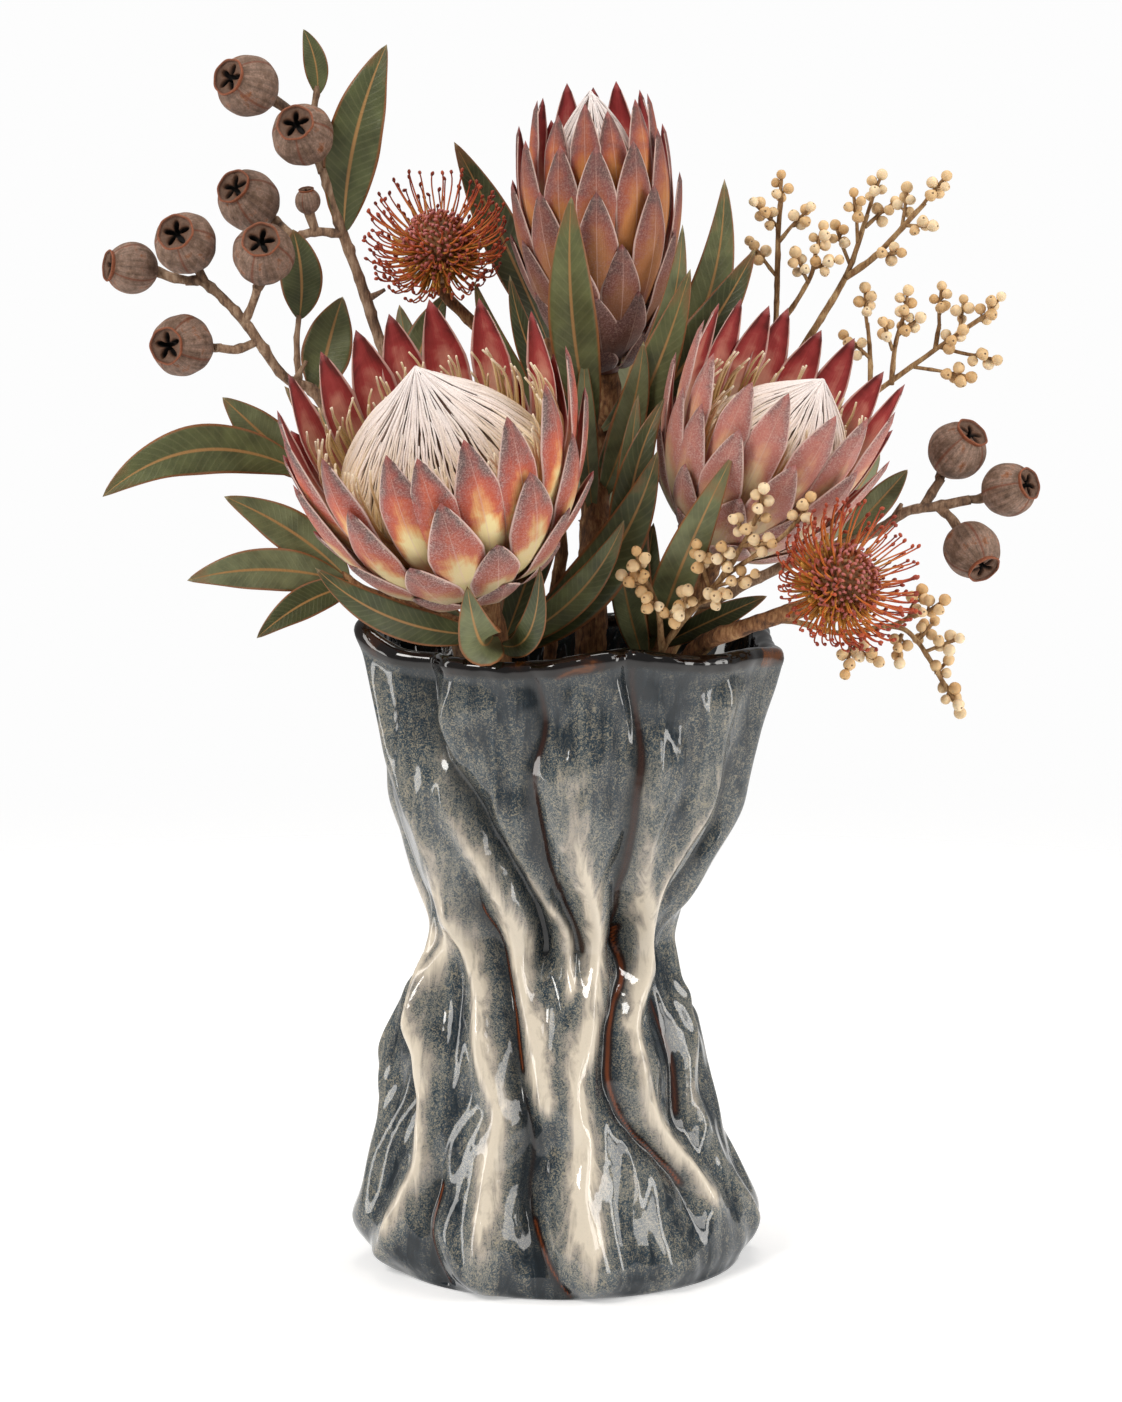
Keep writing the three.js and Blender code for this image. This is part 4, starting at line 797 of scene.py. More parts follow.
def bract(skin, draw, bloom, row, level, turn):
    root, middle, tip, wide, turns = row
    out = turned_to(bloom["axis"], turn)
    sideways = np.cross(bloom["axis"], out)
    longer = draw.uniform(0.965, 1.02)
    root, middle = about(bloom, out, *root), about(bloom, out, *middle)
    tip = about(bloom, out, tip[0] + draw.uniform(-1.5, 1.5), tip[1] * longer)
    tip = tip + sideways * draw.uniform(-1.6, 1.6)
    t = np.linspace(0, 1, BRACT_LENGTHWISE + 2)[1:-1]
    centre, way = bezier(root, 2 * middle - 0.5 * root - 0.5 * tip, tip, t)
    normal = np.cross(sideways, way)
    normal /= np.linalg.norm(normal, axis=1, keepdims=True)
    room = BRACT_SHARE * np.pi * ((centre - np.array(bloom["origin"])) @ out) / len(turns)
    swell = np.sin(np.pi * t**1.3) ** 0.78
    swell = np.where(t < 0.5, np.maximum(swell, 0.62), swell)
    half = np.minimum(wide * swell, room)[:, None]
    s = np.linspace(-1, 1, BRACT_ACROSS)
    cup = (0.17 + 0.12 * t)[:, None] * s**2
    keel = 0.35 * np.exp(-((s / 0.16) ** 2))
    curl = draw.uniform(-0.05, 0.05) * s + 0.03 * np.sin(7 * t + 9 * draw.uniform())[:, None] * s
    thick = 0.5 - 0.36 * s**2
    flat = centre[:, None] + sideways * (half * s)[..., None]
    lift = (curl - cup) * half + 0.35 * np.sin(np.pi * t)[:, None]
    birth = (draw.uniform(), level / 4)
    skin.blade(flat, normal, lift + thick + keel, lift - thick, t, birth, root, tip)


def lathe(skin, bloom, profile, sides, birth=0.0, flute=None, lean=(0, 0, 0)):
    """A body of revolution about a bloom's axis, from (radius, height) pairs."""
    turn = 2 * np.pi * np.arange(sides) / sides
    round_way = turned_to(bloom["axis"], turn)
    radius, height = np.array(profile, float).T
    reach = radius[:, None] * (1 if flute is None else flute(turn, np.linspace(0, 1, len(radius))[:, None]))
    height = height[:, None, None]
    rings = np.array(bloom["origin"]) + round_way * reach[..., None] + bloom["axis"] * height
    rings = rings + np.array(lean) * (height / height[-1]) ** 2
    grow = np.stack(np.broadcast_arrays(np.linspace(0, 1, len(radius))[:, None], turn / np.pi - 1, 0), -1)
    skin.cover(rings, grow, birth)


def build_bracts(name, bloom, material, seed):
    draw = np.random.default_rng(seed)
    skin = Skin()
    lathe(skin, bloom, bloom["receptacle"], 24, (0.5, 1))
    for level, row in enumerate(bloom["rows"]):
        for turn in row[-1]:
            bract(skin, draw, bloom, row, level, math.radians(turn + draw.uniform(-1, 1)))
    make_piece(name, skin, material, [name])


build_bracts("left_protea_bracts", LEFT_BLOOM, RED_BRACT, 11)
build_bracts("right_protea_bracts", RIGHT_BLOOM, PINK_BRACT, 12)
build_bracts("upright_protea_bracts", UPRIGHT_BLOOM, BUD_BRACT, 13)


# %% [markdown]
# ## Florets
# The dome inside the bracts is hundreds of closed florets, each a hair-thin rod in white felt,
# yellow at its foot. They lean in together to a point, and dark slits show between them. They
# could be a ribbed dome with a bump map, but the slits have real depth, so each floret is a rod of
# its own, laid over a core that is painted dark as shade in the slits. The rods start at
# golden-angle turns and end at different heights, because a circle near the point has no room for
# all of them.

# %% Material: felted floret
def felted_floret(name, roughness, *tones):
    p = Paint(name)
    felt = p.noise(0.6, 3)
    place = p.plus(p.ramp(p.birth[0], 0.0, 1.0, -0.08, 0.08), p.grow[0])
    tone = p.mix(1.0, p.band(place, *tones), p.ramp(felt, 0.3, 0.7, 0.84, 1.06), "MULTIPLY")
    return p.finish(tone, roughness, p.bump(felt, 0.2, 0.5), Sheen_Weight=0.3, Sheen_Roughness=0.5)


WHITE_FLORET = felted_floret(
    "white_felted_floret", 0.75,
    (0.0, "#b08a3c"), (0.2, "#cda960"), (0.36, "#dfc48c"), (0.52, "#e4d0b4"), (0.7, "#ebdcd2"),
    (1.0, "#f2e9e6"),
)
GOLD_FLORET = felted_floret(
    "pale_gold_floret", 0.75, (0.0, "#a67f3e"), (0.5, "#c8a56a"), (0.85, "#dcc298"), (1.0, "#ead8bc"),
)
# The core's dark browns are painted shade for the slits between the rods; it is pale only at its point.
FLORET_CORE = felted_floret(
    "shaded_floret_core", 0.9,
    (0.0, "#80592a"), (0.35, "#8a653c"), (0.55, "#765944"), (0.8, "#7a5c50"), (1.0, "#cfc0ba"),
)
print("materials:", WHITE_FLORET.name, GOLD_FLORET.name, FLORET_CORE.name)

# %% Floret domes
CORE_INSET = 1.5
ROD_RADIUS = 0.61


def build_florets(name, bloom, seed):
    draw = np.random.default_rng(seed)
    profile = smooth(bloom["dome"], 8)
    profile[:, 0] = np.maximum(profile[:, 0], 0.0)
    run = run_along(profile)
    run /= run[-1]
    top = profile[-1, 1]
    core = Skin()
    inset = np.stack([np.maximum(profile[:, 0] - CORE_INSET, 0.2), profile[:, 1] - 0.4], -1)
    lathe(core, bloom, inset, 56, lean=bloom["lean"])
    make_piece(f"{name}_core", core, FLORET_CORE, [name])

    rods = Skin()
    for i in range(bloom["strands"]):
        low = draw.uniform(0.02, 0.3)
        high = 1 - 0.55 * draw.uniform() ** 2
        place = np.linspace(low, high, 24)
        radius = np.interp(place, run, profile[:, 0])
        height = np.interp(place, run, profile[:, 1])
        turn = i * GOLDEN + draw.uniform(-0.02, 0.02) + 0.05 * (place - low) * draw.normal()
        turn = turn + 0.017 * np.sin(30 * place + draw.uniform(0, 6))
        radius = np.maximum(radius + draw.uniform(-0.5, 0.4) - 0.2, 0.35)
        out = turned_to(bloom["axis"], turn)
        path = about(bloom, out, radius, height + 0.5 * draw.uniform())
        path = path + np.array(bloom["lean"]) * ((height / top) ** 2)[:, None]
        thin = ROD_RADIUS * (1.06 - 0.62 * place) * draw.uniform(0.85, 1.15)
        thin[-1] *= 0.5
        rods.tube(path, thin, 6, draw.uniform())
        rods.grow[-1][:, 0] = low + (high - low) * rods.grow[-1][:, 0]
    make_piece(f"{name}_rods", rods, WHITE_FLORET, [name])
    if not bloom["loose"]:
        return
    free = Skin()
    path = smooth(bloom["loose"], 4)
    for i in range(bloom["stray"]):
        turn = i * GOLDEN + draw.uniform(-0.2, 0.2)
        stretch, belly = draw.uniform(0.72, 1.1), draw.uniform(0.93, 1.05)
        bend = np.linspace(0, 1, len(path))
        radius = path[:, 0] * belly - 2.5 * draw.uniform() * bend**2
        height = path[0, 1] + (path[:, 1] - path[0, 1]) * stretch
        out = turned_to(bloom["axis"], turn + 0.07 * draw.normal() * bend**2)
        free.tube(about(bloom, out, radius, height), 0.85 - 0.45 * bend, 6, draw.uniform())
    make_piece(f"{name}_free", free, GOLD_FLORET, [name])


build_florets("left_protea_florets", LEFT_BLOOM, 21)
build_florets("right_protea_florets", RIGHT_BLOOM, 22)
build_florets("upright_protea_florets", UPRIGHT_BLOOM, 23)

# %% [markdown]
# ## Leafy stems
# Each protea stands on its own stem with its leaves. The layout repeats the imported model's lists:
# where a leaf starts and ends, how wide it is, how far its middle bows off the straight line, and
# which way it faces where that isn't the viewer.

# %% Leafy stems: layout
def seat(bloom):
    """The last two points of a stem, square under the bloom that it carries."""
    end = np.array(bloom["origin"]) - bloom["axis"] * SEAT_GAP
    return [tuple(end - 14 * bloom["axis"]), tuple(end)]


LEFT_STEM = {
    "limbs": [  # path, radii at both ends
        ([*footing(-13, -15), (-21, -25, 215), *seat(LEFT_BLOOM)], (6, 6.6)),
        ([(-23, -28, 236), (-34, -22, 256), (-56, -14, 264), (-83, -18, 276), (-94, -8, 299),
          (-101, 0, 317)], (2.6, 1.4)),
    ],
    "leaves": [  # start, end, width, bow, face
        ((-99, 0, 314), (-133, -6, 347), 17), ((-100, -1, 316), (-178, -30, 310), 20, (-2, 0, 14)),
        ((-83, -18, 276), (-131, -28, 310), 17, (3, 0, 2)),
        ((-83, -18, 275), (-145, -36, 278), 17, (0, -2, 5)),
        ((-80, -18, 274), (-118, -40, 256), 13, (0, 0, 4)),
        ((-27, -37, 257), (-92, -89, 289), 14, (-3, -14, -5)),
        ((-26, -34, 257), (-35, -96, 283), 17, (0, -14, -10)),
        ((-25, -32, 253), (-8, -84, 289), 11, (4, -10, -10)),
        ((-24, -30, 251), (24, -60, 304), 13, (6, -2, -4)),
        ((-23, -28, 249), (37, -52, 330), 21, (8, 0, -8)),
        ((-27, -27, 250), (-88, 6, 300), 17, (-4, 8, -4), (0, 1, 0.4)),
        ((-25, -29, 246), (5, 0, 336), 15, (1, 4, -2)),
        ((-25, -28, 244), (-34, 26, 330), 18, (-4, 10, -8), (0, 1, 0.3)),
    ],
}

UPRIGHT_STEM = {
    "limbs": [
        ([*footing(3, 0), (12, 2, 252), (14, 9, 320), *seat(UPRIGHT_BLOOM)], (6, 6)),
        ([(13, 10, 322), (4, 22, 346), (-6, 28, 368)], (1.8, 1.2)),
    ],
    "leaves": [
        ((13, 4, 330), (4, -38, 426), 19, (-4, -8, 0)), ((14, 9, 328), (64, 2, 432), 19, (13, -4, -9)),
        ((15, 8, 332), (47, -22, 415), 12, (7, -6, -8)), ((14, 8, 318), (76, -6, 405), 20, (3, -2, -3)),
        ((14, 7, 312), (50, -26, 398), 17, (2, -6, -4)), ((15, 8, 304), (32, -24, 370), 13, (3, -4, 0)),
        ((13, 8, 326), (-20, -12, 395), 11, (-5, -4, -4)),
        ((13, 5, 296), (9, -16, 366), 9, (-1, -4, 0)), ((-5, 28, 366), (-43, 46, 446), 17, (1, 10, 0)),
        ((13, 8, 312), (-34, 4, 392), 13, (-6, 2, -4)),
        ((15, 10, 322), (40, 62, 410), 19, (2, 10, -6), (0, 1, 0.3)),
        ((13, 10, 316), (-16, 64, 400), 18, (-2, 10, -6), (0, 1, 0.3)),
        ((13, 8, 290), (14, 66, 350), 18, (0, 6, -8), (0, 1, 0.6)),
    ],
}

RIGHT_STEM = {
    "limbs": [
        ([*footing(17, -8), (29, -9, 215), (40, -9, 250), *seat(RIGHT_BLOOM)], (4.6, 5)),
    ],
    "leaves": [
        ((38, -9, 250), (65, -71, 330), 16.5, (-6, -14, -6)),
        ((38, -9, 250), (40, -35, 349), 16, (-13, -15, 0)),
        ((37, -9, 250), (30, -28, 350), 13, (-6, -8, 0)),
        ((37, -9, 248), (80, -36, 272), 10, (2, -4, 2)),
        ((35, -9, 244), (36, -30, 300), 12, (-2, -6, 0)),
        ((34, -9, 240), (22, -34, 296), 12, (-2, -6, 0)),
        ((44, -7, 262), (84, 26, 345), 18, (0, 14, -8), (0.2, 1, 0.3)),
    ],
}

# %% Leafy stems: build
def build_wood(name, layout, bark, node, seed, knots):
    draw = np.random.default_rng(seed)
    wood = Skin()
    for path, radii in layout["limbs"]:
        limb(wood, draw, path, radii, knots)
    make_piece(name, wood, bark, [node])


def build_leaves(name, layout, node, seed):
    draw = np.random.default_rng(seed)
    blades = Skin()
    for grown in layout["leaves"]:
        leaf(blades, draw, *grown)
    make_piece(name, blades, LEAF, [node])


for number, (name, layout) in enumerate(
    [("left_protea", LEFT_STEM), ("upright_protea", UPRIGHT_STEM), ("right_protea", RIGHT_STEM)]
):
    build_wood(f"{name}_stem", layout, PROTEA_BARK, f"{name}_leafy_stem", 31 + number, 0.1)
    build_leaves(f"{name}_leaves", layout, f"{name}_leafy_stem", 41 + number)

# %% [markdown]
# ## Gum branches
# Eucalyptus fruit are woody urns. The body is a grey-brown ball with faint ribs and rust-coloured
# scuffs, its rim is a raised reddish ring, and inside the ring pointed valves leave a star-shaped
# hole. A nut is turned about its axis like a pot, but from the ring inwards its radius follows the
# star, so valves and hole are one skin with the body.

# %% Material: woody nut
def woody_nut():
    p = Paint("gum_nut_wood")
    run, round_place = p.grow[:2]
    cloud = p.noise(6, 6, roughness=0.7)
    fine = p.noise(0.8, 4, roughness=0.8)
    body = p.band(
        cloud, (0.3, "#57402f"), (0.44, "#765c4b"), (0.56, "#917666"), (0.66, "#8a5534"), (0.74, "#6f4026"),
    )
    around = p.stretch(p.add("CombineXYZ", {0: round_place, 1: run}), 22.0, 1.6, 1.0)
    grain = p.noise(1, 4, around, 0.7, whole=1)
    body = p.mix(1.0, body, p.ramp(grain, 0.35, 0.65, 0.62, 1.25), "MULTIPLY")
    seam = p.ramp(p.math("SINE", p.times(round_place, 4 * math.pi)), 0.96, 1.0, 0.0, 0.75)
    body = p.mix(seam, body, "#6e351c")
    # The band runs from the reddish ring over the valves into the hole; its last, near-black stop deep in
    # the hole is painted shade.
    mouth = p.band(
        run, (0.7, "#7d4428"), (0.79, "#8f5032"), (0.87, "#5f3d2c"), (0.9, "#6a5040"), (0.94, "#5c3b26"),
        (0.965, "#120a06"),
    )
    whole = p.mix(p.ramp(run, 0.67, 0.7), body, mouth)
    whole = p.mix(1.0, whole, p.ramp(fine, 0.35, 0.65, 0.72, 1.2), "MULTIPLY")
    return p.finish(whole, 0.7, p.bump(p.times(cloud, 0.8, fine), 0.6, 0.7))


NUT_WOOD = woody_nut()
print("material:", NUT_WOOD.name)

# %% Gum nuts
NUT_RADIUS = 12.4
NUT_SIDES = 70
STAR_POINTS = 5


def nut(wood, nuts, draw, centre, mouth, stalk, scale=1.0):
    """A nut about its centre, its mouth's direction, and its stalk from a point on the branch."""
    size, axis, centre = NUT_RADIUS * scale, unit(mouth), np.array(centre)
    back = centre - axis * size * 0.92
    middle = (np.array(stalk) + back) / 2 + draw.uniform(-0.8, 0.8, 3)
    limb(wood, draw, [stalk, middle, back, centre - axis * size * 0.75], (1.6, 2.3), 0.3)
    ball = [(math.cos(a), math.sin(a)) for a in np.radians(np.linspace(-88, 56, 26))]
    neck = [(0.56, 0.85), (0.575, 0.9), (0.6, 0.935), (0.6, 0.97), (0.575, 0.99), (0.54, 0.975),
            (0.525, 0.93)]
    star = [(0.515, 0.89), (0.48, 0.87), (0.45, 0.83), (0.42, 0.66), (0.34, 0.4)]
    profile = np.array([*ball, *neck, *star]) * size
    profile[:len(ball), 0] *= 0.98
    phase = draw.uniform(0, 6)
    rows = np.arange(len(profile))
    inward = len(ball) + len(neck)  # the row from which the radius follows the star
    starred = np.interp(rows, [inward, inward + 2], [0, 1])[:, None]

    def flute(turn, _):
        ribs = 1 + 0.016 * np.sin(4 * turn + phase) + 0.008 * np.sin(11 * turn + 2 * phase)
        point = 0.3 + 0.7 * np.abs(np.cos(STAR_POINTS * turn / 2 + phase)) ** 1.8
        rim = 1 + 0.02 * np.sin(7 * turn + phase) + 0.02 * np.sin(3 * turn)
        on_rim = ((rows >= len(ball)) & (rows < inward))[:, None]
        return np.where(on_rim, rim, ribs) * (1 - starred + starred * point)

    lathe(nuts, {"origin": centre, "axis": axis}, profile, NUT_SIDES, draw.uniform(), flute)


# A nut is its centre, the way its mouth looks, where its stalk starts, and its size if not 1.
TALL_GUM = {
    "limbs": [
        ([*footing(-17, 6), (-30, 16, 250), (-44, 22, 300), (-60, 24, 340), (-71, 22, 364),
          (-79, 20, 389), (-87, 17, 412), (-94, 12, 436)], (3.2, 2)),
        ([(-94, 12, 434), (-98, 15, 450), (-96, 16, 468)], (1.9, 1.2)),
        ([(-87, 17, 410), (-97, 16, 411), (-106, 20, 408)], (1.8, 1.5)),
        ([(-77, 21, 384), (-70, 18, 388)], (1.4, 0.7)),
    ],
    "nuts": [
        ((-123, 12, 468), (-0.6, -0.74, 0.3), (-98, 15, 452)),
        ((-101, 3, 449), (-0.2, -0.88, 0.4), (-95, 13, 437)),
        ((-124, 24, 423), (-0.48, -0.72, 0.5), (-105, 20, 408)),
        ((-100, 14, 423), (-0.1, -0.3, 0.95), (-97, 16, 411), 0.42),
    ],
    "leaves": [
        ((-96, 16, 464), (-101, 12, 490), 9.5, (2, 0, 0)),
        ((-86, 17, 410), (-68, 5, 484), 22, (-4, -2, 0)),
        ((-62, 24, 342), (-46, 34, 386), 15, (-2, 2, 0)),
        ((-52, 23, 320), (-66, 62, 380), 18, (0, 8, -4), (0, 1, 0.3)),
    ],
}

LEFT_GUM = {
    "limbs": [
        ([*footing(-26, -4), (-42, 3, 250), (-66, 10, 295), (-86, 16, 325), (-98, 18, 347),
          (-110, 12, 354), (-125, 6, 376), (-140, 6, 391), (-148, 6, 392)], (3.4, 1.8)),
        ([(-125, 6, 375), (-121, 3, 384), (-119, 0, 390)], (1.7, 1.6)),
        ([(-120, 8, 368), (-128, 5, 365), (-136, 2, 366)], (1.7, 1.6)),
        ([(-104, 15, 350), (-105, 16, 366), (-104, 16, 378)], (1.4, 1)),
        ([(-106, 14, 352), (-101, 12, 360)], (1.4, 0.8)),
    ],
    "nuts": [
        ((-147, -3, 407), (-0.25, -0.88, 0.4), (-140, 6, 391)),
        ((-116, -8, 403), (-0.03, -0.86, 0.5), (-119, 0, 389)),
        ((-169, 6, 397), (-0.9, -0.4, 0.12), (-147, 6, 392), 0.84),
        ((-149, 0, 367), (-0.45, -0.88, 0.03), (-134, 2, 366)),
    ],
    "leaves": [
        ((-104, 16, 376), (-106, 14, 412), 17, (2, 2, 0)),
        ((-97, 18, 345), (-87, 24, 385), 20, (-1, 2, 0)),
        ((-70, 12, 300), (-112, 44, 348), 18, (4, 8, -6), (0, 1, 0.3)),
    ],
}

RIGHT_GUM = {
    "limbs": [
        ([*footing(25, 6), (42, 13, 250), (62, 18, 264), (98, 14, 282), (124, 8, 292), (137, 4, 301),
          (148, 2, 303), (162, 1, 306)], (3.2, 1.9)),
        ([(143, 3, 302), (147, 5, 308), (151, 6, 314)], (1.9, 1.7)),
        ([(149, 2, 303), (153, 0, 300)], (1.8, 1.7)),
        ([(132, 6, 298), (135, 3, 304)], (1.4, 0.8)),
    ],
    "nuts": [
        ((157, 6, 325), (0.5, -0.5, 0.7), (150, 6, 313), 0.94),
        ((177, 0, 310), (0.72, -0.6, 0.3), (161, 1, 306), 0.88),
        ((162, -8, 287), (0.4, -0.65, -0.65), (152, 0, 301), 0.92),
    ],
    "leaves": [
        ((111, 11, 287), (137, 0, 318), 11, (2, 0, 2)),
        ((98, 14, 282), (130, 50, 320), 17, (0, 10, -4), (0, 1, 0.5)),
    ],
}


def build_gum_branch(name, layout, seed):
    draw = np.random.default_rng(seed)
    wood, nuts = Skin(), Skin()
    for path, radii in layout["limbs"]:
        limb(wood, draw, path, radii, 0.42)
    for grown in layout["nuts"]:
        nut(wood, nuts, draw, *grown)
    make_piece(f"{name}_wood", wood, GUM_BARK, [name])
    make_piece(f"{name}_nuts", nuts, NUT_WOOD, [name])
    build_leaves(f"{name}_leaves", layout, name, seed + 50)


build_gum_branch("tall_gum_branch", TALL_GUM, 51)
build_gum_branch("left_gum_branch", LEFT_GUM, 52)
build_gum_branch("right_gum_branch", RIGHT_GUM, 53)

# %% [markdown]
# ## Pincushion flowers
# A pincushion is a head of wiry styles, each ending in a knob that carried pollen. The outer ones
# spray out and turn up, the young ones in the middle are still hooked over, and gold threads of
# spent petals curl round the foot. Each style is a thin tube on a short curve. Hair particles
# would be quicker to make, but they have no knobs, and their thickness can't be trusted in an
# export.

# %% Material: wiry style
def wiry_style(name, *tones):
    p = Paint(name)
    place = p.plus(p.ramp(p.birth[0], 0.0, 1.0, -0.14, 0.14), p.grow[0])
    return p.finish(p.band(place, *tones), 0.5)


STYLE = wiry_style(
    "rust_pincushion_style",
    (0.0, "#7a5a1e"), (0.3, "#b07e30"), (0.55, "#c8702e"), (0.78, "#bb5228"), (0.94, "#a03e20"),
    (1.0, "#88301a"),
)
YOUNG_STYLE = wiry_style(
    "mauve_young_style", (0.0, "#7a4a20"), (0.5, "#a85a38"), (0.75, "#b0615a"), (1.0, "#a8605e"),
)
SPENT_PETAL = wiry_style("gold_spent_petal", (0.0, "#4e3412"), (0.5, "#93642a"), (1.0, "#c8903c"))
print("materials:", STYLE.name, YOUNG_STYLE.name, SPENT_PETAL.name)

# %% Pincushion flowers
TALL_PIN = {"origin": (-47, 25, 392), "axis": unit((-0.1, -0.55, 0.82))}
LOW_PIN = {"origin": (98, -69, 275), "axis": unit((0.5, -0.72, 0.48))}
TALL_PIN_STEM = [*footing(-8, 15), (-4, 15, 250), (0, 17, 290), (-12, 24, 336), (-28, 29, 366)]
LOW_PIN_STEM = [*footing(11, -21), (34, -30, 215), (50, -37, 249), (70, -55, 262)]
PIN_CORE = [(4.5, 1), (7.5, 5), (9.5, 9), (10.8, 13), (10.8, 17), (8, 24), (4, 27)]
HEART = 15  # height of the point that every style springs from
STYLES, YOUNG, PETALS = 210, 230, 180
STYLE_REACH = 33.39
YOUNG_REACH = 14.5  # radius of the ball of young styles


def sprayed(axis, rise, turn):
    """A direction that makes an angle with an axis: rise 1 is along it and -1 against it."""
    return turned_to(axis, turn) * math.sqrt(1 - rise**2) + axis * rise


def build_pincushion(name, head, path, radii, seed):
    draw = np.random.default_rng(seed)
    axis, origin = head["axis"], np.array(head["origin"])
    heart = origin + HEART * axis
    stem, styles, young, petals = Skin(), Skin(), Skin(), Skin()
    limb(stem, draw, [*path, origin - 8 * axis, origin + 4 * axis], radii, 0.16)
    lathe(stem, head, PIN_CORE, 24)
    for i in range(STYLES):
        rise = -0.72 + 1.4 * ((i + 0.5) / STYLES) ** 1.25 + draw.normal(0, 0.04)
        out = sprayed(axis, rise, i * GOLDEN + draw.normal(0, 0.05))
        long = STYLE_REACH * draw.uniform(0.84, 1.0)
        t = np.linspace(0.16, 1, 11)
        lift = (6.5 - 3 * rise) * t**3 - 2.5 * np.sin(np.pi * t) * (1 - rise) / 2
        wave = draw.normal(0, 0.5, 3) * np.sin(np.pi * t)[:, None]
        wave = wave + draw.normal(0, 0.22, 3) * np.sin(9 * t)[:, None]
        curve = heart + out * (long * (t - 0.12 * t**6))[:, None] + axis * lift[:, None] + wave
        styles.tube(curve, np.interp(t, [0, 1], [0.44, 0.3]), 5, draw.uniform())
        way = unit(unit(curve[-1] - curve[-2]) + draw.normal(0, 0.5, 3))
        bead = curve[-1] + way * np.array([-0.4, 0.1, 0.7, 1.3, 1.7])[:, None]
        styles.tube(bead, np.array([0.3, 0.6, 0.78, 0.6, 0.2]), 6, draw.uniform())
        styles.grow[-1][:, 0] = 1.0
    for i in range(YOUNG):
        out = sprayed(axis, 1 - 1.15 * (i + 0.5) / YOUNG, i * GOLDEN)
        t = np.linspace(0.45, 1, 8)
        swing = unit(np.cross(out, axis + draw.normal(0, 0.6, 3))) * draw.uniform(1.2, 2.4)
        bent = swing * (np.clip(t - 0.6, 0, 1) * 2.2)[:, None] ** 1.6
        curve = heart + out * (YOUNG_REACH * draw.uniform(0.9, 1.08) * np.sin(1.75 * t))[:, None] + bent
        young.tube(curve, np.interp(t, [0.45, 0.8, 1], [0.5, 0.5, 0.72]), 6, draw.uniform())
    for i in range(PETALS):
        rise = -0.75 + 0.95 * (i + 0.5) / PETALS
        out = sprayed(axis, rise, i * GOLDEN + 1.0)
        t = np.linspace(0.3, 1, 9)
        curl = draw.uniform(1.5, 3.5) * (t - 0.3) ** 2
        swing = np.cross(out, axis) * draw.choice([-1, 1])
        curve = heart + out * (draw.uniform(13, 20) * t)[:, None]
        curve = curve + swing * (curl * np.sin(6 * t))[:, None] + axis * (curl * np.cos(5 * t))[:, None]
        petals.tube(curve, np.interp(t, [0.3, 1], [0.7, 0.5]), 5, draw.uniform())
    make_piece(f"{name}_stem", stem, PROTEA_BARK, [name])
    make_piece(f"{name}_styles", styles, STYLE, [name])
    make_piece(f"{name}_young_styles", young, YOUNG_STYLE, [name])
    make_piece(f"{name}_spent_petals", petals, SPENT_PETAL, [name])


build_pincushion("tall_pincushion", TALL_PIN, TALL_PIN_STEM, (2.6, 2.4), 61)
build_pincushion("low_pincushion", LOW_PIN, LOW_PIN_STEM, (3.4, 3.2), 62)

# %% [markdown]
# ## Berry sprays
# The sprays are dried, cream berries on thin brown twigs. Each berry is a slightly lumpy ball with
# a dark scar where its flower was. Berries sit round the end of each twig, turned from one another
# by the golden angle, which is how such sprays branch and keeps any two from growing into each
# other.

# %% Material: dried berry
def dried_berry():
    p = Paint("dried_cream_berry")
    run, cloud = p.grow[0], p.noise(2.5, 4)
    tone = p.band(p.birth[0], (0.0, "#cfa671"), (0.5, "#e0bf90"), (1.0, "#efd8b2"))
    tone = p.mix(1.0, tone, p.ramp(cloud, 0.3, 0.7, 0.82, 1.08), "MULTIPLY")
    scarred = p.mix(p.ramp(run, 0.86, 0.93, 0.0, 0.85), tone, "#5b4029")
    # Painted shade: the berry darkens to tan towards its foot, where it meets its twig.
    whole = p.mix(p.ramp(run, 0.0, 0.2, 0.6, 0.0), scarred, "#9a7a4c")
    return p.finish(
        whole, 0.55, p.bump(cloud, 0.3, 0.5),
        Subsurface_Weight=0.15, Subsurface_Radius=(0.003, 0.002, 0.001),
    )


BERRY = dried_berry()
print("material:", BERRY.name)

# %% Berry sprays
BERRY_RADIUS = 2.35
TWIG_RADIUS = 0.7
BERRY_PROFILE = [(0.3, -0.96), (0.62, -0.8), (0.88, -0.45), (1.0, 0.0), (0.9, 0.42), (0.66, 0.76),
                 (0.36, 0.93), (0.2, 0.95), (0.14, 0.88)]
SIDE_ROOTS = (3.4, 5.4, 7.4, 9.4, 11.4)


def berry(skin, draw, centre, way):
    size = BERRY_RADIUS * draw.uniform(0.84, 1.08)
    phase = draw.uniform(0, 6)
    lathe(skin, {"origin": centre, "axis": way}, np.array(BERRY_PROFILE) * size, 14,
          draw.uniform(), lambda turn, share: 1 + 0.08 * np.sin(3 * turn + phase))


def cluster(wood, fruit, draw, number, start, end, count):
    start, end = np.array(start, float), np.array(end, float)
    along = unit(end - start)
    middle = (start + end) / 2 + draw.uniform(-0.5, 0.5, 3)
    limb(wood, draw, [start, middle, end + along], (0.8, 0.65), 0.3, 8)
    berry(fruit, draw, end + along * BERRY_RADIUS * 0.9, along)
    for i, below in enumerate(SIDE_ROOTS[:count + 2]):
        turn = i * GOLDEN + number
        way = unit(turned_to(along, turn, (0.3, 0.2, 1)) * 1.4 + along)
        root = end - along * below
        middle = root + way * BERRY_RADIUS * 1.45
        limb(wood, draw, [root, root + way * 0.8, middle - way * 1.6], (0.6, 0.5), 0.0, 6)
        berry(fruit, draw, middle, way)


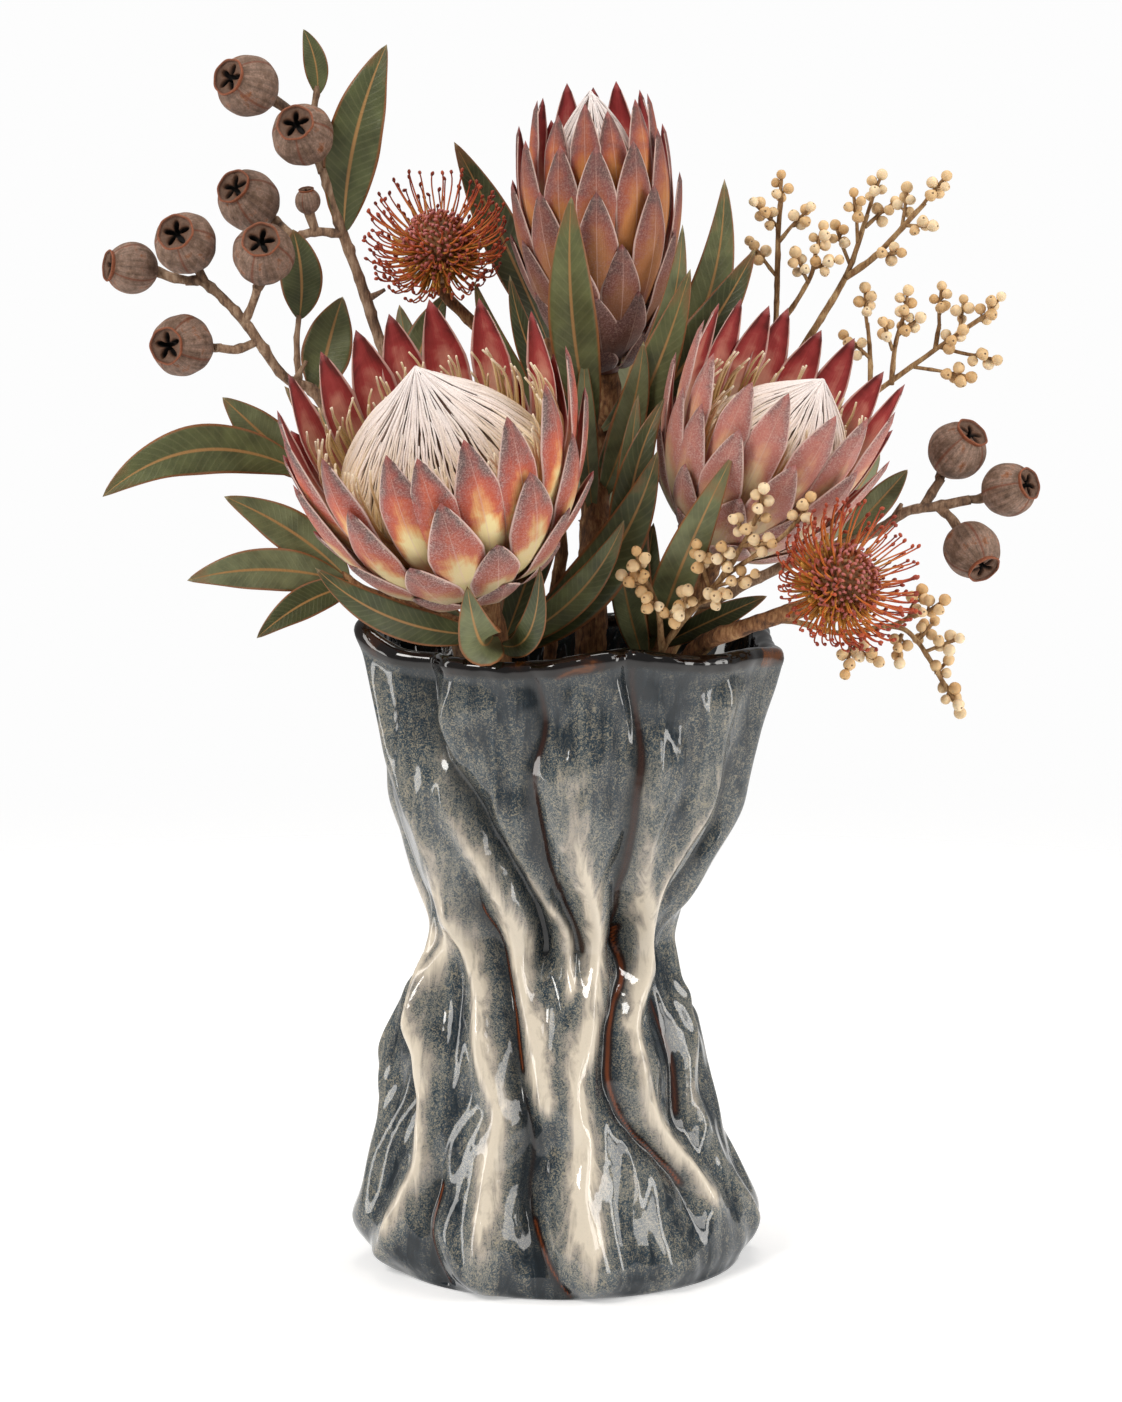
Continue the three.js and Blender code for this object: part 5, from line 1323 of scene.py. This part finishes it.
# A cluster is where its twig starts and ends, and how many berries sit round it beyond two.
UPPER_BERRIES = {
    "limbs": [
        ([*footing(8, 18), (24, 23, 220), (42, 28, 262), (62, 33, 295), (82, 35, 335), (86, 34, 370),
          (87, 34, 410), (88, 34, 424)], (2.4, 1)),
        ([(82, 35, 335), (96, 34, 362), (114, 36, 392), (123, 40, 417)], (1.9, 0.9)),
        ([(114, 36, 392), (126, 32, 401), (145, 28, 422)], (1.4, 0.9)),
        ([(86, 34, 370), (99, 30, 391), (102, 28, 404)], (1.2, 0.8)),
    ],
    "clusters": [
        ((88, 34, 423), (88, 33, 431), 2), ((87, 34, 412), (78, 28, 421), 3),
        ((87, 34, 406), (98, 25, 419), 2), ((86, 34, 393), (77, 40, 405), 2),
        ((102, 28, 402), (104, 27, 411), 2), ((99, 30, 390), (94, 24, 401), 2),
        ((101, 29, 396), (109, 24, 399), 2), ((122, 40, 414), (128, 42, 431), 2),
        ((116, 37, 397), (111, 43, 411), 2), ((119, 38, 405), (117, 33, 424), 2),
        ((122, 39, 412), (133, 44, 421), 2), ((144, 28, 421), (152, 26, 431), 2),
        ((136, 30, 412), (138, 34, 426), 2), ((137, 30, 413), (146, 22, 413), 1),
        ((126, 32, 401), (134, 27, 402), 1),
    ],
}

RIGHT_BERRIES = {
    "limbs": [
        ([*footing(17, 14), (36, 20, 222), (56, 25, 258), (82, 31, 296), (112, 29, 334), (124, 26, 345),
          (149, 20, 364), (167, 16, 377)], (2.2, 0.9)),
        ([(132, 23.3, 350), (133, 18, 366), (136, 14, 378)], (1.1, 0.8)),
        ([(124, 26, 345), (124, 32, 362), (123, 34, 374)], (1.1, 0.8)),
        ([(149, 20, 364), (151, 24, 374)], (1, 0.8)),
    ],
    "clusters": [
        ((166, 16, 376), (173, 13, 384), 3), ((158, 18, 370), (160, 22, 382), 1),
        ((151, 24, 372), (152, 28, 387), 2), ((149, 20, 364), (158, 15, 371), 2),
        ((151, 20, 365), (171, 12, 361), 2), ((141, 22, 357), (161, 14, 354), 2),
        ((136, 14, 377), (137, 12, 386), 2), ((134, 17, 370), (141, 13, 376), 2),
        ((132, 19, 364), (128, 12, 374), 1), ((123, 34, 372), (122, 34, 386), 2),
        ((124, 31, 360), (115, 32, 368), 2),
    ],
}

FRONT_BERRIES = {
    "limbs": [
        ([*footing(0, -22), (22, -38, 215), (39, -47, 252), (50, -52, 268), (61, -62, 282),
          (69, -70, 296), (75, -76, 309)], (2.4, 0.9)),
        ([(39, -47, 252), (37, -57, 270), (31, -62, 284)], (1.3, 0.8)),
        ([(61, -62, 282), (74, -71, 292), (84, -77, 300), (91, -79, 308)], (1, 0.8)),
    ],
    "clusters": [
        ((75, -76, 308), (76, -79, 316), 3), ((71, -72, 300), (66, -77, 305), 2),
        ((68, -69, 295), (78, -80, 297), 2), ((63, -64, 285), (61, -73, 294), 2),
        ((57, -58, 277), (52, -68, 294), 3), ((58, -59, 278), (72, -70, 284), 2),
        ((52, -54, 271), (62, -68, 276), 2), ((46, -50, 262), (48, -62, 276), 2),
        ((38, -54, 266), (44, -66, 268), 2), ((31, -61, 283), (29, -65, 291), 3),
        ((34, -60, 278), (25, -60, 282), 2), ((37, -57, 270), (33, -66, 274), 2),
        ((89, -78, 305), (93, -80, 313), 2),
    ],
}

LOW_BERRIES = {
    "limbs": [
        ([*footing(24, -12), (42, -22, 215), (56, -28, 249), (84, -34, 262), (108, -40, 258),
          (128, -42, 261), (138, -42, 255), (150, -42, 236)], (2, 0.9)),
        ([(128, -42, 261), (137, -46, 266)], (1, 0.8)),
        ([(108, -40, 258), (116, -46, 252)], (1, 0.8)),
    ],
    "clusters": [
        ((149, -42, 238), (154, -42, 229), 3), ((146, -42, 243), (150, -36, 246), 2),
        ((141, -42, 251), (152, -46, 256), 2), ((137, -42, 255), (144, -36, 261), 2),
        ((132, -42, 258), (131, -45, 249), 2), ((136, -46, 265), (146, -49, 271), 2),
        ((134, -44, 264), (139, -38, 273), 2), ((115, -45, 252), (121, -50, 249), 2),
        ((112, -43, 254), (110, -49, 245), 2),
    ],
}


def build_spray(name, layout, seed):
    draw = np.random.default_rng(seed)
    wood, fruit = Skin(), Skin()
    for path, radii in layout["limbs"]:
        limb(wood, draw, path, radii, 0.25)
    for number, grown in enumerate(layout["clusters"]):
        cluster(wood, fruit, draw, number, *grown)
    make_piece(f"{name}_twigs", wood, BERRY_BARK, [name])
    make_piece(f"{name}_berries", fruit, BERRY, [name])


build_spray("upper_berry_spray", UPPER_BERRIES, 71)
build_spray("right_berry_spray", RIGHT_BERRIES, 72)
build_spray("front_berry_spray", FRONT_BERRIES, 73)
build_spray("low_berry_spray", LOW_BERRIES, 74)


# %% [markdown]
# ## Floor, background and studio light
# The photograph is a product shot on white. The floor is a pale disc that thins out to nothing, so
# no horizon shows between it and the white background. The light is soft: a large softbox high on
# the left, a broad fill on the right, and a strip on each side for the long highlights in the
# glaze. The background is white where the camera sees it but lights the vase weakly, as a dark
# studio round a lit table does, so the glaze keeps its depth.

# %% Floor
FLOOR_REACH = 1.6


def floor_paint():
    p = Paint("pale_table_paint")
    away = p.add("VectorMath", {0: p.spot}, take="Value", operation="LENGTH")
    thinned = {0: away, 1: 0.32, 2: 1.3, 3: 1.0, 4: 0.0}
    there = p.add("MapRange", thinned, interpolation_type="SMOOTHSTEP")
    return p.finish(
        colour("#ececec"), 0.6, ior=1.5, Specular_IOR_Level=0.2, Alpha=there,
        Emission_Color=colour("#ffffff"), Emission_Strength=0.36,
    )


rim_turns = [2 * math.pi * i / 64 for i in range(64)]
floor_rim = [(FLOOR_REACH * math.cos(a), FLOOR_REACH * math.sin(a), -0.0004) for a in rim_turns]
floor_mesh = bpy.data.meshes.new("pale_table")
floor_mesh.from_pydata(floor_rim, [], [list(range(64))])
floor_mesh.materials.append(floor_paint())
table = bpy.data.objects.new("pale_table", floor_mesh)
bpy.context.scene.collection.objects.link(table)
print("floor reach:", FLOOR_REACH, "m")

# %% Background
world = bpy.data.worlds.new("studio")
world.use_nodes = True
world_tree = world.node_tree
world_tree.nodes.clear()
seen = add(world_tree, "LightPath", take="Is Camera Ray")
strength = add(world_tree, "MapRange", {0: seen, 1: 0.0, 2: 1.0, 3: 0.32, 4: 1.0})
white = add(world_tree, "Background", {"Color": colour("#fdfdfd"), "Strength": strength})
add(world_tree, "OutputWorld", {"Surface": white})
bpy.context.scene.world = world
bpy.context.scene.view_settings.view_transform = "Standard"
print("background:", world.name)

# %% Lights
LIGHTS = [  # name, place in metres, width, height, watts
    ("key_softbox", (-1.1, -1.3, 1.5), 0.65, 0.65, 24),
    ("fill_softbox", (1.5, -1.0, 0.9), 0.6, 1.0, 10),
    ("left_strip", (-1.2, -0.1, 0.5), 0.25, 1.2, 6),
    ("right_strip", (1.1, -0.35, 0.5), 0.2, 1.2, 6),
    ("top_softbox", (0.1, 0.3, 1.9), 0.9, 0.7, 14),
]
AIM = (0.0, 0.0, 0.24)
LAMP_TINT = (1.0, 0.975, 0.94)
for name, place, width, height, watts in LIGHTS:
    light = bpy.data.lights.new(name, "AREA")
    light.shape = "RECTANGLE"
    light.size, light.size_y = width, height
    light.energy = watts
    light.color = LAMP_TINT
    holder = bpy.data.objects.new(name, light)
    holder.location = place
    towards = np.array(AIM) - np.array(place)
    across_floor = math.hypot(towards[0], towards[1])
    heading = math.atan2(towards[1], towards[0]) - math.pi / 2
    holder.rotation_euler = (math.atan2(across_floor, -towards[2]), 0, heading)
    bpy.context.scene.collection.objects.link(holder)
print("lights:", len(LIGHTS))

# %% [markdown]
# ## Finish
# The dressed bouquet has to stay inside the imported model's box, give or take what soft pieces may
# stand proud.

# %% Finish
bpy.context.view_layer.update()
